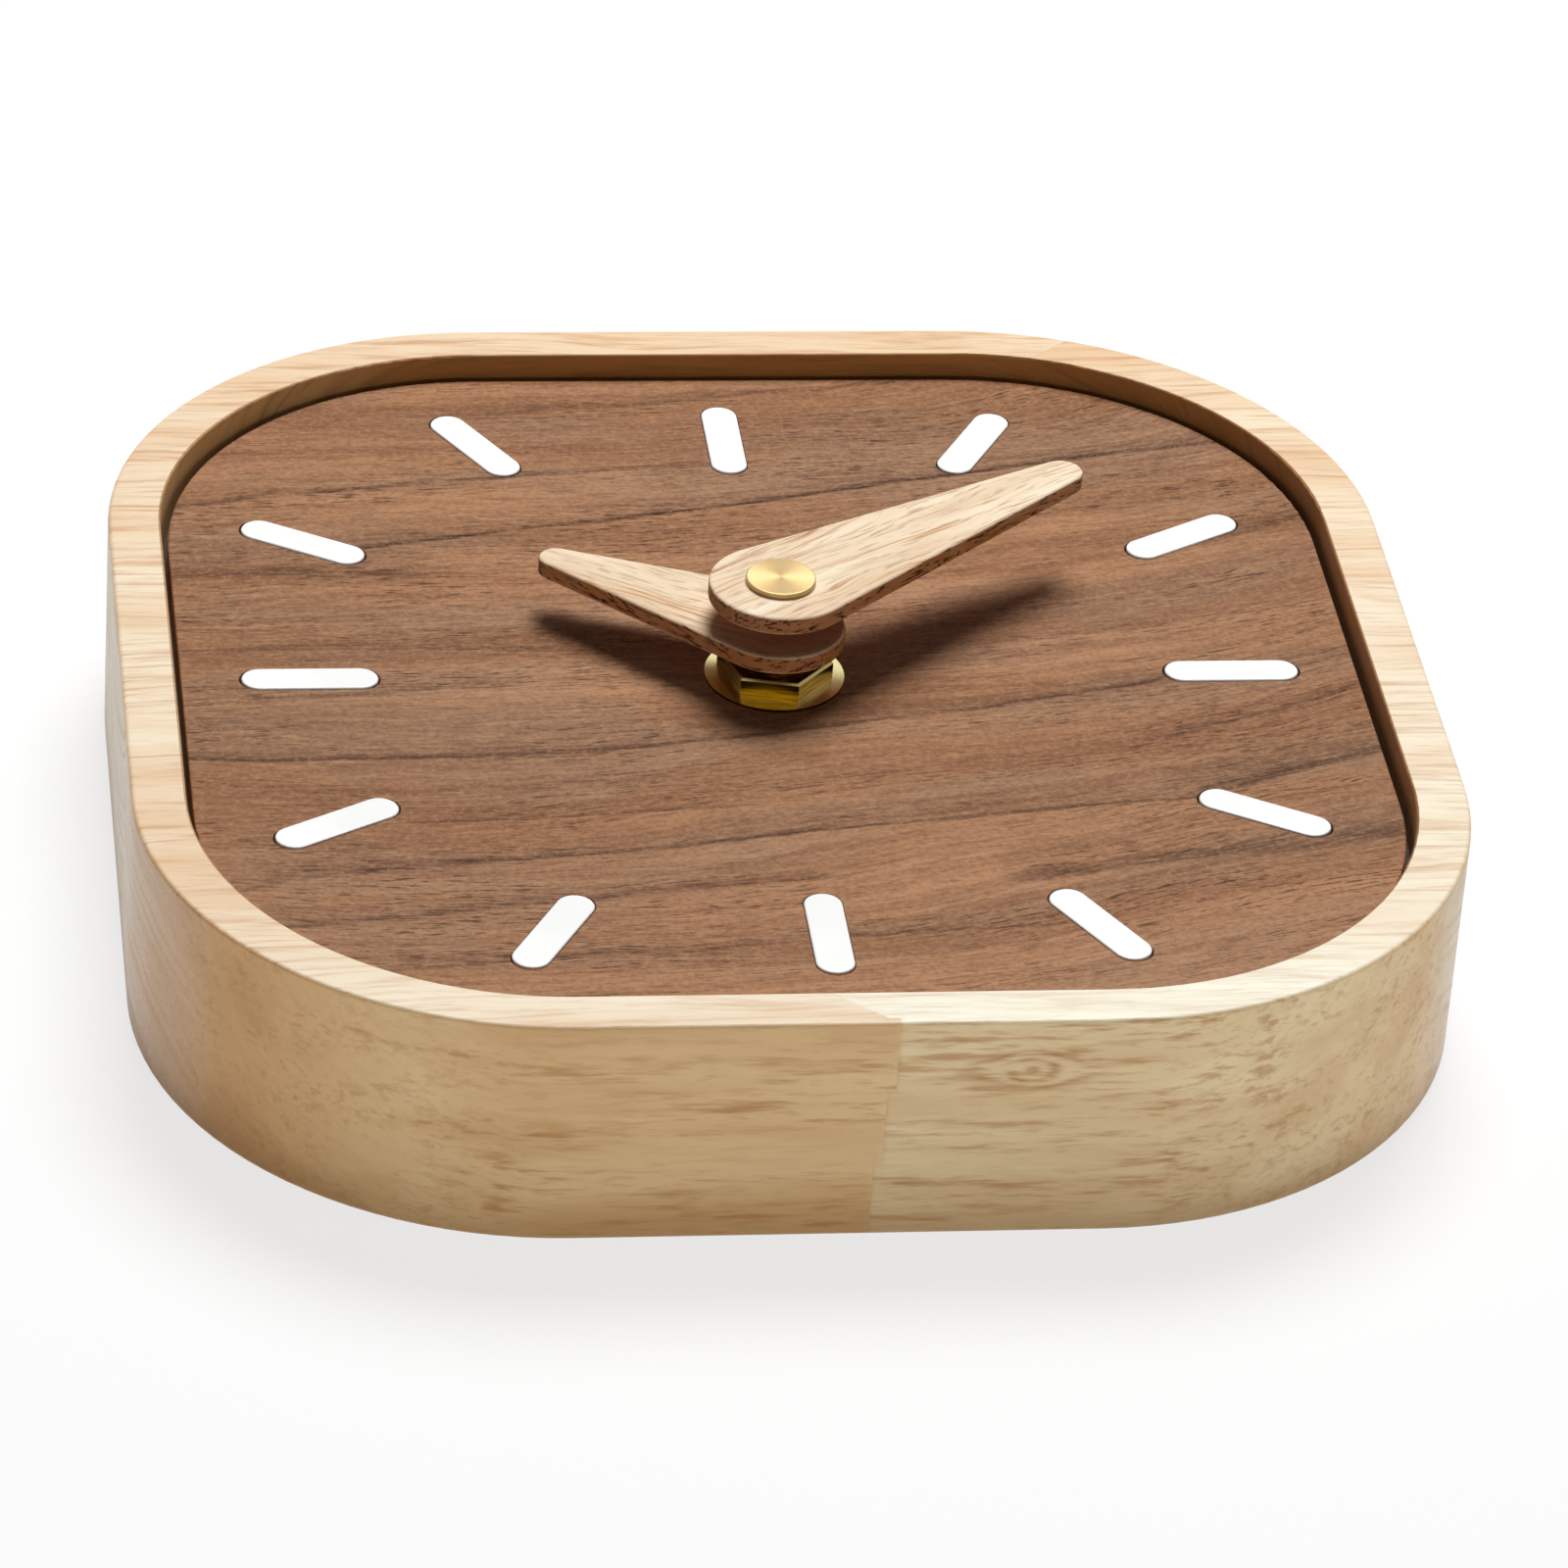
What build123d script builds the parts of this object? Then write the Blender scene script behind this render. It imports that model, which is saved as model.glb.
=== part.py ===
from build123d import *

import math
import os
from typing import NamedTuple

# A square wooden clock with round corners, lying on its back. Millimetres.
# Origin: middle of the back face. +Z: out of the dial. +Y: towards 12 o'clock. +X: towards 3 o'clock.

# Wooden frame
CLOCK_WIDTH = 150.0
CORNER_RADIUS = 46.0
RIM_WIDTH = 6.1
RIM_HEIGHT = 3.0
FRAME_EDGE_RADIUS = 0.5
RECESS_EDGE_RADIUS = 0.25
BACK_EDGE_RADIUS = 0.9
POCKET_CLEARANCE = 3.0
POCKET_CORNER_RADIUS = 6.0
REAR_SETBACK = 0.9

# Walnut dial and its white marks
DIAL_THICKNESS = 4.0
DIAL_GAP = 0.9
DIAL_EDGE_RADIUS = 0.25
MARK_COUNT = 12
MARK_LENGTH = 15.6
MARK_WIDTH = 4.3
MARK_THICKNESS = 2.0
MARK_RISE = 0.2
MARK_END_GAP = 0.3
MARK_SIDE_GAP = 0.1
MARK_EDGE_RADIUS = 0.2
QUARTER_MARK_MARGIN = 6.9
HOUR_MARK_STEP = 7.0

# Hands, angles in degrees clockwise from 12 o'clock
HAND_THICKNESS = 2.2
HAND_EDGE_RADIUS = 0.4
HAND_SPACING = 3.3
HOUR_HAND_LENGTH = 30.4
HOUR_HUB_RADIUS = 7.8
HOUR_TIP_RADIUS = 2.1
HOUR_HAND_ANGLE = 302.0
MINUTE_HAND_LENGTH = 46.1
MINUTE_HUB_RADIUS = 8.2
MINUTE_TIP_RADIUS = 2.5
MINUTE_HAND_ANGLE = 55.7
HAND_LIFT = 0.6

# Brass fittings on the shaft
NUT_FLANGE_RADIUS = 8.05
NUT_FLANGE_EDGE = 0.35
NUT_FLANGE_THICKNESS = 0.6
NUT_ACROSS_FLATS = 11.6
NUT_HEIGHT = 2.7
NUT_CHAMFER = 0.25
NUT_ANGLE = -12.5
BUSH_RADIUS = 4.0
BUSH_REACH = 4.3
BUSH_FOOT_RADIUS = 6.0
WASHER_RADIUS = 7.0
WASHER_THICKNESS = 1.0
CAP_RADIUS = 4.0
CAP_THICKNESS = 0.7
CAP_STEM_RADIUS = 2.5
CAP_STEM_LENGTH = 1.4
CAP_EDGE_RADIUS = 0.15

# Fits
RUNNING_CLEARANCE = 0.08
SEAT_CLEARANCE = 0.05
LOOSE_CLEARANCE = 0.3
AXIAL_GAP = 0.3
LEVEL_GAP = 0.5

# Movement case
CASE_WALL = 1.4
CASE_CORNER_RADIUS = 3.0
CASE_EDGE_RADIUS = 0.6
CHAMBER_GAP = 0.6
BOSS_RADIUS = 1.3
BOSS_HEIGHT = 0.8
PILLAR_RADIUS = 1.4
PLATE_THICKNESS = 1.1
PILLAR_SHARES = ((-0.41, -0.43), (0.72, -0.43), (0.87, 0.26), (-0.24, 0.84))

# Gear train: modules, teeth, and the direction from one arbor to the next in degrees
WHEEL_THICKNESS = 1.0
ROTOR_MODULE = 0.26
SECONDS_MODULE = 0.32
CENTRE_MODULE = 0.28
CANNON_MODULE = 0.5
ROTOR_PINION_TEETH = 10
INTERMEDIATE_WHEEL_TEETH = 60
INTERMEDIATE_PINION_TEETH = 10
SECONDS_WHEEL_TEETH = 50
SECONDS_PINION_TEETH = 10
THIRD_WHEEL_TEETH = 75
THIRD_PINION_TEETH = 10
CENTRE_WHEEL_TEETH = 80
CANNON_TEETH = 12
MOTION_WHEEL_TEETH = 36
MOTION_PINION_TEETH = 10
HOUR_WHEEL_TEETH = 40
KNOB_PINION_TEETH = 12
INTERMEDIATE_DIRECTION = 180.0
ROTOR_DIRECTION = 110.0
THIRD_DIRECTION = 60.0
MOTION_DIRECTION = 10.0
KNOB_DIRECTION = -30.0
PRESSURE_ANGLE = 20.0
ADDENDUM_SHARE = 0.85
DEDENDUM_SHARE = 1.25
TOOTH_WIDTH_SHARE = 0.82

# Arbors
ARBOR_RADIUS = 0.5
PIVOT_LENGTH = 0.7
SECONDS_ARBOR_RADIUS = 0.6
MINUTE_FOOT_RADIUS = 3.0
MINUTE_FOOT_THICKNESS = 0.5
MINUTE_SEAT_RADIUS = 2.2
MINUTE_PIPE_RADIUS = 1.6
MINUTE_TIP_NECK_RADIUS = 1.3
HOUR_PIPE_RADIUS = 2.5
MOTION_POST_RADIUS = 0.7
CLUTCH_WIDTH = 1.1

# Setting knob
KNOB_RADIUS = 5.0
KNOB_THICKNESS = 2.2
KNOB_STANDOFF = 0.4
KNOB_SHAFT_RADIUS = 1.2
KNOB_PIVOT_RADIUS = 0.6
KNOB_GRIP_COUNT = 20
KNOB_GRIP_RADIUS = 0.45

# Step motor
MAGNET_RADIUS = 3.0
MAGNET_THICKNESS = 2.2
MAGNET_GAP = 0.5
STATOR_THICKNESS = 1.2
STATOR_LIFT = 0.8
STATOR_ARM = 4.0
STATOR_RING = 1.9
CORE_WIDTH = 4.0
CORE_THICKNESS = 1.0
COIL_LENGTH = 20.0
COIL_CENTRE_Y = 4.0
COIL_ARM_GAP = 1.5
CHEEK_SIZE = 8.0
CHEEK_THICKNESS = 1.0
BARREL_WALL = 0.8
WINDING_SIZE = 7.0
WINDING_CORNER_RADIUS = 1.2

# Battery, contacts and circuit board
BATTERY_LENGTH = 50.5
BATTERY_DIAMETER = 14.5
BATTERY_NUB_RADIUS = 2.75
BATTERY_NUB_LENGTH = 1.0
BATTERY_EDGE_RADIUS = 0.5
BATTERY_CLEARANCE = 0.3
CONTACT_SPACE = 1.75
CONTACT_THICKNESS = 0.4
CONTACT_SIZE = 9.0
CONTACT_BUMP_RADIUS = 2.0
STRIP_WIDTH = 2.0
BOARD_LENGTH = 12.0
BOARD_WIDTH = 12.0
BOARD_THICKNESS = 1.0
BOARD_LIFT = 2.0
CHIP_SIZE = 4.0
CHIP_HEIGHT = 1.0
CRYSTAL_RADIUS = 1.0
CRYSTAL_LENGTH = 6.0
BOARD_EDGE_SHARE = 0.25


class Gear(NamedTuple):
    """One toothed layer: its centre, size, the angle of its first tooth, and its height."""

    centre: tuple
    module: float
    teeth: int
    turn: float
    bottom: float
    top: float

    @property
    def tip_radius(self):
        return self.module * (self.teeth / 2 + ADDENDUM_SHARE)


def polar(centre, distance, direction):
    """The point at a distance and direction from a centre."""
    angle = math.radians(direction)
    return (centre[0] + distance * math.cos(angle), centre[1] + distance * math.sin(angle))


def tooth_half_angle(teeth, radius, pitch_radius):
    """Half the angle that an involute tooth spans at a radius."""
    pressure = math.radians(PRESSURE_ANGLE)
    at_radius = math.acos(min(1.0, pitch_radius * math.cos(pressure) / radius))
    opening = math.tan(pressure) - pressure - math.tan(at_radius) + at_radius
    return math.pi / (2 * teeth) * TOOTH_WIDTH_SHARE + opening


def gear_points(gear):
    """The corners of a gear's outline: each tooth has straight flanks from root to tip."""
    pitch_radius = gear.module * gear.teeth / 2
    tip = gear.tip_radius
    root = pitch_radius - DEDENDUM_SHARE * gear.module
    points = []
    for tooth in range(gear.teeth):
        middle = gear.turn + 360 * tooth / gear.teeth
        for radius, side in ((root, -1), (tip, -1), (tip, 1), (root, 1)):
            half = math.degrees(tooth_half_angle(gear.teeth, radius, pitch_radius))
            points.append(polar(gear.centre, radius, middle + side * half))
    return points


def meshing(driver, centre, module, teeth, bottom, top):
    """A gear whose teeth sit between those of its driver."""
    direction = math.degrees(math.atan2(centre[1] - driver.centre[1], centre[0] - driver.centre[0]))
    past_tooth = (direction - driver.turn) * driver.teeth / 360 % 1
    turn = direction + 180 - (0.5 - past_tooth) * 360 / teeth
    return Gear(centre, module, teeth, turn, bottom, top)


def save(piece, name):
    """Label a finished piece and write it."""
    piece.part.label = name
    export_step(piece.part, f"parts/{name}.step")


os.makedirs("parts", exist_ok=True)

# Arbor places
axis_at = (0.0, 0.0)
intermediate_distance = SECONDS_MODULE * (INTERMEDIATE_PINION_TEETH + SECONDS_WHEEL_TEETH) / 2
rotor_distance = ROTOR_MODULE * (ROTOR_PINION_TEETH + INTERMEDIATE_WHEEL_TEETH) / 2
third_distance = CENTRE_MODULE * (THIRD_PINION_TEETH + CENTRE_WHEEL_TEETH) / 2
motion_distance = CANNON_MODULE * (CANNON_TEETH + MOTION_WHEEL_TEETH) / 2
knob_distance = CANNON_MODULE * (KNOB_PINION_TEETH + MOTION_WHEEL_TEETH) / 2
third_module = 2 * third_distance / (SECONDS_PINION_TEETH + THIRD_WHEEL_TEETH)
hour_module = 2 * motion_distance / (MOTION_PINION_TEETH + HOUR_WHEEL_TEETH)
intermediate_at = polar(axis_at, intermediate_distance, INTERMEDIATE_DIRECTION)
rotor_at = polar(intermediate_at, rotor_distance, ROTOR_DIRECTION)
third_at = polar(axis_at, third_distance, THIRD_DIRECTION)
motion_at = polar(axis_at, motion_distance, MOTION_DIRECTION)
knob_at = polar(motion_at, knob_distance, KNOB_DIRECTION)

# Heights from the back plane to the hands
train_depth = (4 * AXIAL_GAP + 4 * LEVEL_GAP + 6 * WHEEL_THICKNESS
               + MINUTE_FOOT_THICKNESS + PLATE_THICKNESS)
case_depth = CASE_WALL + max(BATTERY_DIAMETER + 2 * BATTERY_CLEARANCE,
                             CASE_WALL + BOSS_HEIGHT + PIVOT_LENGTH + train_depth)
knob_bottom = REAR_SETBACK
knob_top = knob_bottom + KNOB_THICKNESS
case_rear = knob_top + KNOB_STANDOFF
rear_inner = case_rear + CASE_WALL
case_front = case_rear + case_depth
front_inner = case_front - CASE_WALL
dial_back = case_front + WASHER_THICKNESS
dial_top = dial_back + DIAL_THICKNESS
frame_top = dial_top + RIM_HEIGHT
bush_top = dial_top + BUSH_REACH
hour_hand_bottom = bush_top + HAND_LIFT
hour_hand_top = hour_hand_bottom + HAND_THICKNESS
minute_hand_bottom = hour_hand_top + HAND_SPACING
minute_hand_top = minute_hand_bottom + HAND_THICKNESS

# Levels of the wheels, from the front of the case down
hour_wheel_top = front_inner - AXIAL_GAP
hour_wheel_bottom = hour_wheel_top - WHEEL_THICKNESS
motion_wheel_top = hour_wheel_bottom - LEVEL_GAP
motion_wheel_bottom = motion_wheel_top - WHEEL_THICKNESS
centre_wheel_top = motion_wheel_bottom - LEVEL_GAP
centre_wheel_bottom = centre_wheel_top - WHEEL_THICKNESS
minute_foot_bottom = centre_wheel_bottom - MINUTE_FOOT_THICKNESS
plate_top = minute_foot_bottom - AXIAL_GAP
plate_bottom = plate_top - PLATE_THICKNESS
third_wheel_top = plate_bottom - AXIAL_GAP
third_wheel_bottom = third_wheel_top - WHEEL_THICKNESS
seconds_wheel_top = third_wheel_bottom - LEVEL_GAP
seconds_wheel_bottom = seconds_wheel_top - WHEEL_THICKNESS
intermediate_wheel_top = seconds_wheel_bottom - LEVEL_GAP
intermediate_wheel_bottom = intermediate_wheel_top - WHEEL_THICKNESS
boss_top = intermediate_wheel_bottom - AXIAL_GAP
pivot_bottom = boss_top - PIVOT_LENGTH
seconds_arbor_top = hour_wheel_bottom
stator_bottom = intermediate_wheel_top + STATOR_LIFT
stator_top = stator_bottom + STATOR_THICKNESS
board_bottom = rear_inner + BOARD_LIFT
board_top = board_bottom + BOARD_THICKNESS

# Gears, each in mesh with the one before it
rotor_gear = Gear(rotor_at, ROTOR_MODULE, ROTOR_PINION_TEETH, 0,
                  intermediate_wheel_bottom, intermediate_wheel_top)
intermediate_gear = meshing(rotor_gear, intermediate_at, ROTOR_MODULE, INTERMEDIATE_WHEEL_TEETH,
                            intermediate_wheel_bottom, intermediate_wheel_top)
intermediate_pinion_gear = Gear(intermediate_at, SECONDS_MODULE, INTERMEDIATE_PINION_TEETH, 0,
                                intermediate_wheel_top, seconds_wheel_top)
seconds_gear = meshing(intermediate_pinion_gear, axis_at, SECONDS_MODULE, SECONDS_WHEEL_TEETH,
                       seconds_wheel_bottom, seconds_wheel_top)
seconds_pinion_gear = Gear(axis_at, third_module, SECONDS_PINION_TEETH, 0, seconds_wheel_top, third_wheel_top)
third_gear = meshing(seconds_pinion_gear, third_at, third_module, THIRD_WHEEL_TEETH,
                     third_wheel_bottom, third_wheel_top)
third_pinion_gear = Gear(third_at, CENTRE_MODULE, THIRD_PINION_TEETH, 0,
                         plate_top + AXIAL_GAP, centre_wheel_top)
centre_gear = meshing(third_pinion_gear, axis_at, CENTRE_MODULE, CENTRE_WHEEL_TEETH,
                      centre_wheel_bottom, centre_wheel_top)
cannon_gear = Gear(axis_at, CANNON_MODULE, CANNON_TEETH, 0, motion_wheel_bottom, motion_wheel_top)
motion_gear = meshing(cannon_gear, motion_at, CANNON_MODULE, MOTION_WHEEL_TEETH,
                      motion_wheel_bottom, motion_wheel_top)
motion_pinion_gear = Gear(motion_at, hour_module, MOTION_PINION_TEETH, 0, motion_wheel_top, hour_wheel_top)
hour_gear = meshing(motion_pinion_gear, axis_at, hour_module, HOUR_WHEEL_TEETH,
                    hour_wheel_bottom, hour_wheel_top)
knob_gear = meshing(motion_gear, knob_at, CANNON_MODULE, KNOB_PINION_TEETH,
                    motion_wheel_bottom, motion_wheel_top)

# Plan of the movement: the battery bay lies below the gear chamber
magnet_hole_radius = MAGNET_RADIUS + MAGNET_GAP
stator_ring_radius = magnet_hole_radius + STATOR_RING
inner_half_width = max(BATTERY_LENGTH / 2 + CONTACT_SPACE,
                       knob_at[0] + knob_gear.tip_radius + CHAMBER_GAP,
                       stator_ring_radius - rotor_at[0] + CHEEK_SIZE + 2 * LOOSE_CLEARANCE)
arm_reach = (COIL_LENGTH + STATOR_ARM) / 2 + COIL_ARM_GAP
core_length = 2 * arm_reach + STATOR_ARM
chamber_top = max(third_at[1] + third_gear.tip_radius + CHAMBER_GAP,
                  COIL_CENTRE_Y + core_length / 2 + LOOSE_CLEARANCE)
chamber_bottom = min(-centre_gear.tip_radius - CHAMBER_GAP,
                     COIL_CENTRE_Y - core_length / 2 - LOOSE_CLEARANCE - CONTACT_THICKNESS)
bay_top = chamber_bottom - CASE_WALL
bay_bottom = bay_top - BATTERY_DIAMETER - 2 * BATTERY_CLEARANCE
case_width = 2 * (inner_half_width + CASE_WALL)
case_height = chamber_top - bay_bottom + 2 * CASE_WALL
case_centre = (0.0, (chamber_top + bay_bottom) / 2)
chamber_centre = (0.0, (chamber_top + chamber_bottom) / 2)
bay_centre = (0.0, (bay_top + bay_bottom) / 2)
battery_height = case_rear + BATTERY_CLEARANCE + BATTERY_DIAMETER / 2
pillar_places = [(x * inner_half_width, y * chamber_top) for x, y in PILLAR_SHARES]
coil_x = CHEEK_SIZE / 2 + LOOSE_CLEARANCE - inner_half_width
arm_corner_x = coil_x + (CHEEK_SIZE + STATOR_ARM) / 2 + LOOSE_CLEARANCE
stator_ends = [(coil_x, COIL_CENTRE_Y + side * arm_reach) for side in (1, -1)]
board_centre = (inner_half_width - SEAT_CLEARANCE - BOARD_WIDTH / 2,
                chamber_top - SEAT_CLEARANCE - BOARD_LENGTH / 2)
board_low_y = board_centre[1] - BOARD_LENGTH / 2
strip_bottom = board_top
strip_top = strip_bottom + STRIP_WIDTH
upper_strip_bottom = strip_top + LEVEL_GAP
upper_strip_top = upper_strip_bottom + STRIP_WIDTH

# Wooden frame: dial recess in front, pocket for the movement behind
recess_width = CLOCK_WIDTH - 2 * RIM_WIDTH
recess_radius = CORNER_RADIUS - RIM_WIDTH
with BuildPart() as wooden_frame:
    with BuildSketch():
        RectangleRounded(CLOCK_WIDTH, CLOCK_WIDTH, CORNER_RADIUS)
    extrude(amount=frame_top)
    with BuildSketch(Plane.XY.offset(dial_back)):
        RectangleRounded(recess_width, recess_width, recess_radius)
    extrude(amount=frame_top - dial_back, mode=Mode.SUBTRACT)
    with BuildSketch():
        with Locations(case_centre):
            RectangleRounded(case_width + 2 * POCKET_CLEARANCE, case_height + 2 * POCKET_CLEARANCE,
                             POCKET_CORNER_RADIUS)
    extrude(amount=dial_back, mode=Mode.SUBTRACT)
    fillet(wooden_frame.faces().sort_by(Axis.Z)[-1].outer_wire().edges(), radius=FRAME_EDGE_RADIUS)
    fillet(wooden_frame.faces().sort_by(Axis.Z)[-1].inner_wires()[0].edges(), radius=RECESS_EDGE_RADIUS)
    fillet(wooden_frame.faces().sort_by(Axis.Z)[0].edges(), radius=BACK_EDGE_RADIUS)
save(wooden_frame, "wooden_frame")

# Hour marks: the four quarter marks sit nearer the middle than the other eight
dial_width = recess_width - 2 * DIAL_GAP
quarter_mark_radius = (dial_width - MARK_LENGTH) / 2 - QUARTER_MARK_MARGIN
hour_mark_radius = quarter_mark_radius + HOUR_MARK_STEP
mark_places = []
for hour in range(1, MARK_COUNT + 1):
    direction = 90 - 360 * hour / MARK_COUNT
    ring_radius = hour_mark_radius if hour % 3 else quarter_mark_radius
    x, y = polar(axis_at, ring_radius, direction)
    mark_places.append(Location((x, y, 0), (0, 0, direction)))
mark_floor = dial_top + MARK_RISE - MARK_THICKNESS

for number, place in enumerate(mark_places, start=1):
    with BuildPart() as hour_mark:
        with BuildSketch(Plane.XY.offset(mark_floor)):
            with Locations(place):
                SlotOverall(MARK_LENGTH, MARK_WIDTH)
        extrude(amount=MARK_THICKNESS)
        fillet(hour_mark.faces().sort_by(Axis.Z)[-1].edges(), radius=MARK_EDGE_RADIUS)
    save(hour_mark, f"hour_mark_{number:02d}")

# Walnut dial with a slot for each mark and the shaft hole
with BuildPart() as walnut_dial:
    with BuildSketch(Plane.XY.offset(dial_back)):
        RectangleRounded(dial_width, dial_width, recess_radius - DIAL_GAP)
        Circle(BUSH_RADIUS + LOOSE_CLEARANCE, mode=Mode.SUBTRACT)
    extrude(amount=DIAL_THICKNESS)
    fillet(walnut_dial.faces().sort_by(Axis.Z)[-1].outer_wire().edges(), radius=DIAL_EDGE_RADIUS)
    with BuildSketch(Plane.XY.offset(mark_floor)):
        with Locations(mark_places):
            SlotOverall(MARK_LENGTH + 2 * MARK_END_GAP, MARK_WIDTH + 2 * MARK_SIDE_GAP)
    extrude(amount=dial_top - mark_floor, mode=Mode.SUBTRACT)
save(walnut_dial, "walnut_dial")


def hand_plane(clock_angle, height):
    """The plane of a hand's underside, with +X along the hand."""
    direction = math.radians(90 - clock_angle)
    return Plane((0, 0, height), x_dir=(math.cos(direction), math.sin(direction), 0), z_dir=(0, 0, 1))


# Hour hand, pressed on the hour pipe
with BuildPart() as hour_hand:
    with BuildSketch(hand_plane(HOUR_HAND_ANGLE, hour_hand_bottom)):
        Circle(HOUR_HUB_RADIUS)
        with Locations((HOUR_HAND_LENGTH - HOUR_TIP_RADIUS, 0)):
            Circle(HOUR_TIP_RADIUS)
        make_hull()
    extrude(amount=HAND_THICKNESS)
    fillet(hour_hand.edges().filter_by(Axis.Z, reverse=True), radius=HAND_EDGE_RADIUS)
    with BuildSketch(Plane.XY.offset(hour_hand_bottom)):
        Circle(HOUR_PIPE_RADIUS)
    extrude(amount=HAND_THICKNESS, mode=Mode.SUBTRACT)
save(hour_hand, "hour_hand")

# Minute hand, with a counterbore for the stem of its cap
with BuildPart() as minute_hand:
    with BuildSketch(hand_plane(MINUTE_HAND_ANGLE, minute_hand_bottom)):
        Circle(MINUTE_HUB_RADIUS)
        with Locations((MINUTE_HAND_LENGTH - MINUTE_TIP_RADIUS, 0)):
            Circle(MINUTE_TIP_RADIUS)
        make_hull()
    extrude(amount=HAND_THICKNESS)
    fillet(minute_hand.edges().filter_by(Axis.Z, reverse=True), radius=HAND_EDGE_RADIUS)
    with BuildSketch(Plane.XY.offset(minute_hand_bottom)):
        Circle(MINUTE_TIP_NECK_RADIUS + SEAT_CLEARANCE)
    extrude(amount=HAND_THICKNESS, mode=Mode.SUBTRACT)
    with BuildSketch(Plane.XY.offset(minute_hand_top)):
        Circle(CAP_STEM_RADIUS + SEAT_CLEARANCE)
    extrude(amount=-CAP_STEM_LENGTH, mode=Mode.SUBTRACT)
save(minute_hand, "minute_hand")

# Brass cap that screws on the tip of the minute arbor
with BuildPart() as minute_cap:
    with BuildSketch(Plane.XY.offset(minute_hand_top)):
        Circle(CAP_RADIUS)
    extrude(amount=CAP_THICKNESS)
    fillet(minute_cap.edges(), radius=CAP_EDGE_RADIUS)
    with BuildSketch(Plane.XY.offset(minute_hand_top)):
        Circle(CAP_STEM_RADIUS)
    extrude(amount=-CAP_STEM_LENGTH)
    with BuildSketch(Plane.XY.offset(minute_hand_top)):
        Circle(MINUTE_TIP_NECK_RADIUS + SEAT_CLEARANCE)
    extrude(amount=-CAP_STEM_LENGTH, mode=Mode.SUBTRACT)
save(minute_cap, "minute_cap")

# Brass hexagon nut with a thin coned flange
flange_edge = dial_top + NUT_FLANGE_EDGE
flange_top = dial_top + NUT_FLANGE_THICKNESS
with BuildPart() as dial_nut:
    with BuildSketch(Plane.XZ):
        with BuildLine():
            Polyline((0, dial_top), (NUT_FLANGE_RADIUS, dial_top), (NUT_FLANGE_RADIUS, flange_edge),
                     (NUT_ACROSS_FLATS / 2, flange_top), (0, flange_top), close=True)
        make_face()
    revolve(axis=Axis.Z)
    with BuildSketch(Plane.XY.offset(dial_top)):
        RegularPolygon(NUT_ACROSS_FLATS / 2, 6, major_radius=False, rotation=NUT_ANGLE)
    extrude(amount=NUT_HEIGHT)
    chamfer(dial_nut.faces().sort_by(Axis.Z)[-1].edges(), length=NUT_CHAMFER)
    with BuildSketch(Plane.XY.offset(dial_top)):
        Circle(BUSH_RADIUS + SEAT_CLEARANCE)
    extrude(amount=NUT_HEIGHT, mode=Mode.SUBTRACT)
save(dial_nut, "dial_nut")

# Brass bush through the dial, with its foot let into the front of the case
with BuildPart() as threaded_bush:
    with BuildSketch(Plane.XY.offset(front_inner)):
        Circle(BUSH_FOOT_RADIUS)
    extrude(amount=CASE_WALL)
    with BuildSketch(Plane.XY.offset(front_inner)):
        Circle(BUSH_RADIUS)
    extrude(amount=bush_top - front_inner)
    with BuildSketch(Plane.XY.offset(front_inner)):
        Circle(HOUR_PIPE_RADIUS + RUNNING_CLEARANCE)
    extrude(amount=bush_top - front_inner, mode=Mode.SUBTRACT)
save(threaded_bush, "threaded_bush")

# Rubber washer between the case and the dial
with BuildPart() as rubber_washer:
    with BuildSketch(Plane.XY.offset(case_front)):
        Circle(WASHER_RADIUS)
        Circle(BUSH_RADIUS + LOOSE_CLEARANCE, mode=Mode.SUBTRACT)
    extrude(amount=WASHER_THICKNESS)
save(rubber_washer, "rubber_washer")

# Front half of the movement's case
with BuildPart() as movement_front:
    with BuildSketch(Plane.XY.offset(plate_top)):
        with Locations(case_centre):
            RectangleRounded(case_width, case_height, CASE_CORNER_RADIUS)
    extrude(amount=case_front - plate_top)
    fillet(movement_front.faces().sort_by(Axis.Z)[-1].edges(), radius=CASE_EDGE_RADIUS)
    with BuildSketch(Plane.XY.offset(plate_top)):
        with Locations(chamber_centre):
            Rectangle(2 * inner_half_width, chamber_top - chamber_bottom)
        with Locations(bay_centre):
            Rectangle(2 * inner_half_width, bay_top - bay_bottom)
    extrude(amount=front_inner - plate_top, mode=Mode.SUBTRACT)
    with BuildSketch(Plane.XY.offset(front_inner)):
        Circle(BUSH_FOOT_RADIUS)
    extrude(amount=CASE_WALL, mode=Mode.SUBTRACT)
    with BuildSketch(Plane.XY.offset(motion_wheel_bottom)):
        with Locations(motion_at):
            Circle(MOTION_POST_RADIUS)
    extrude(amount=front_inner - motion_wheel_bottom)
    with BuildSketch(Plane.XY.offset(motion_wheel_top + AXIAL_GAP)):
        with Locations(knob_at):
            Circle(KNOB_PIVOT_RADIUS + BOSS_RADIUS)
            Circle(KNOB_PIVOT_RADIUS + RUNNING_CLEARANCE, mode=Mode.SUBTRACT)
    extrude(amount=front_inner - motion_wheel_top - AXIAL_GAP)
save(movement_front, "movement_front")

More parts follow.
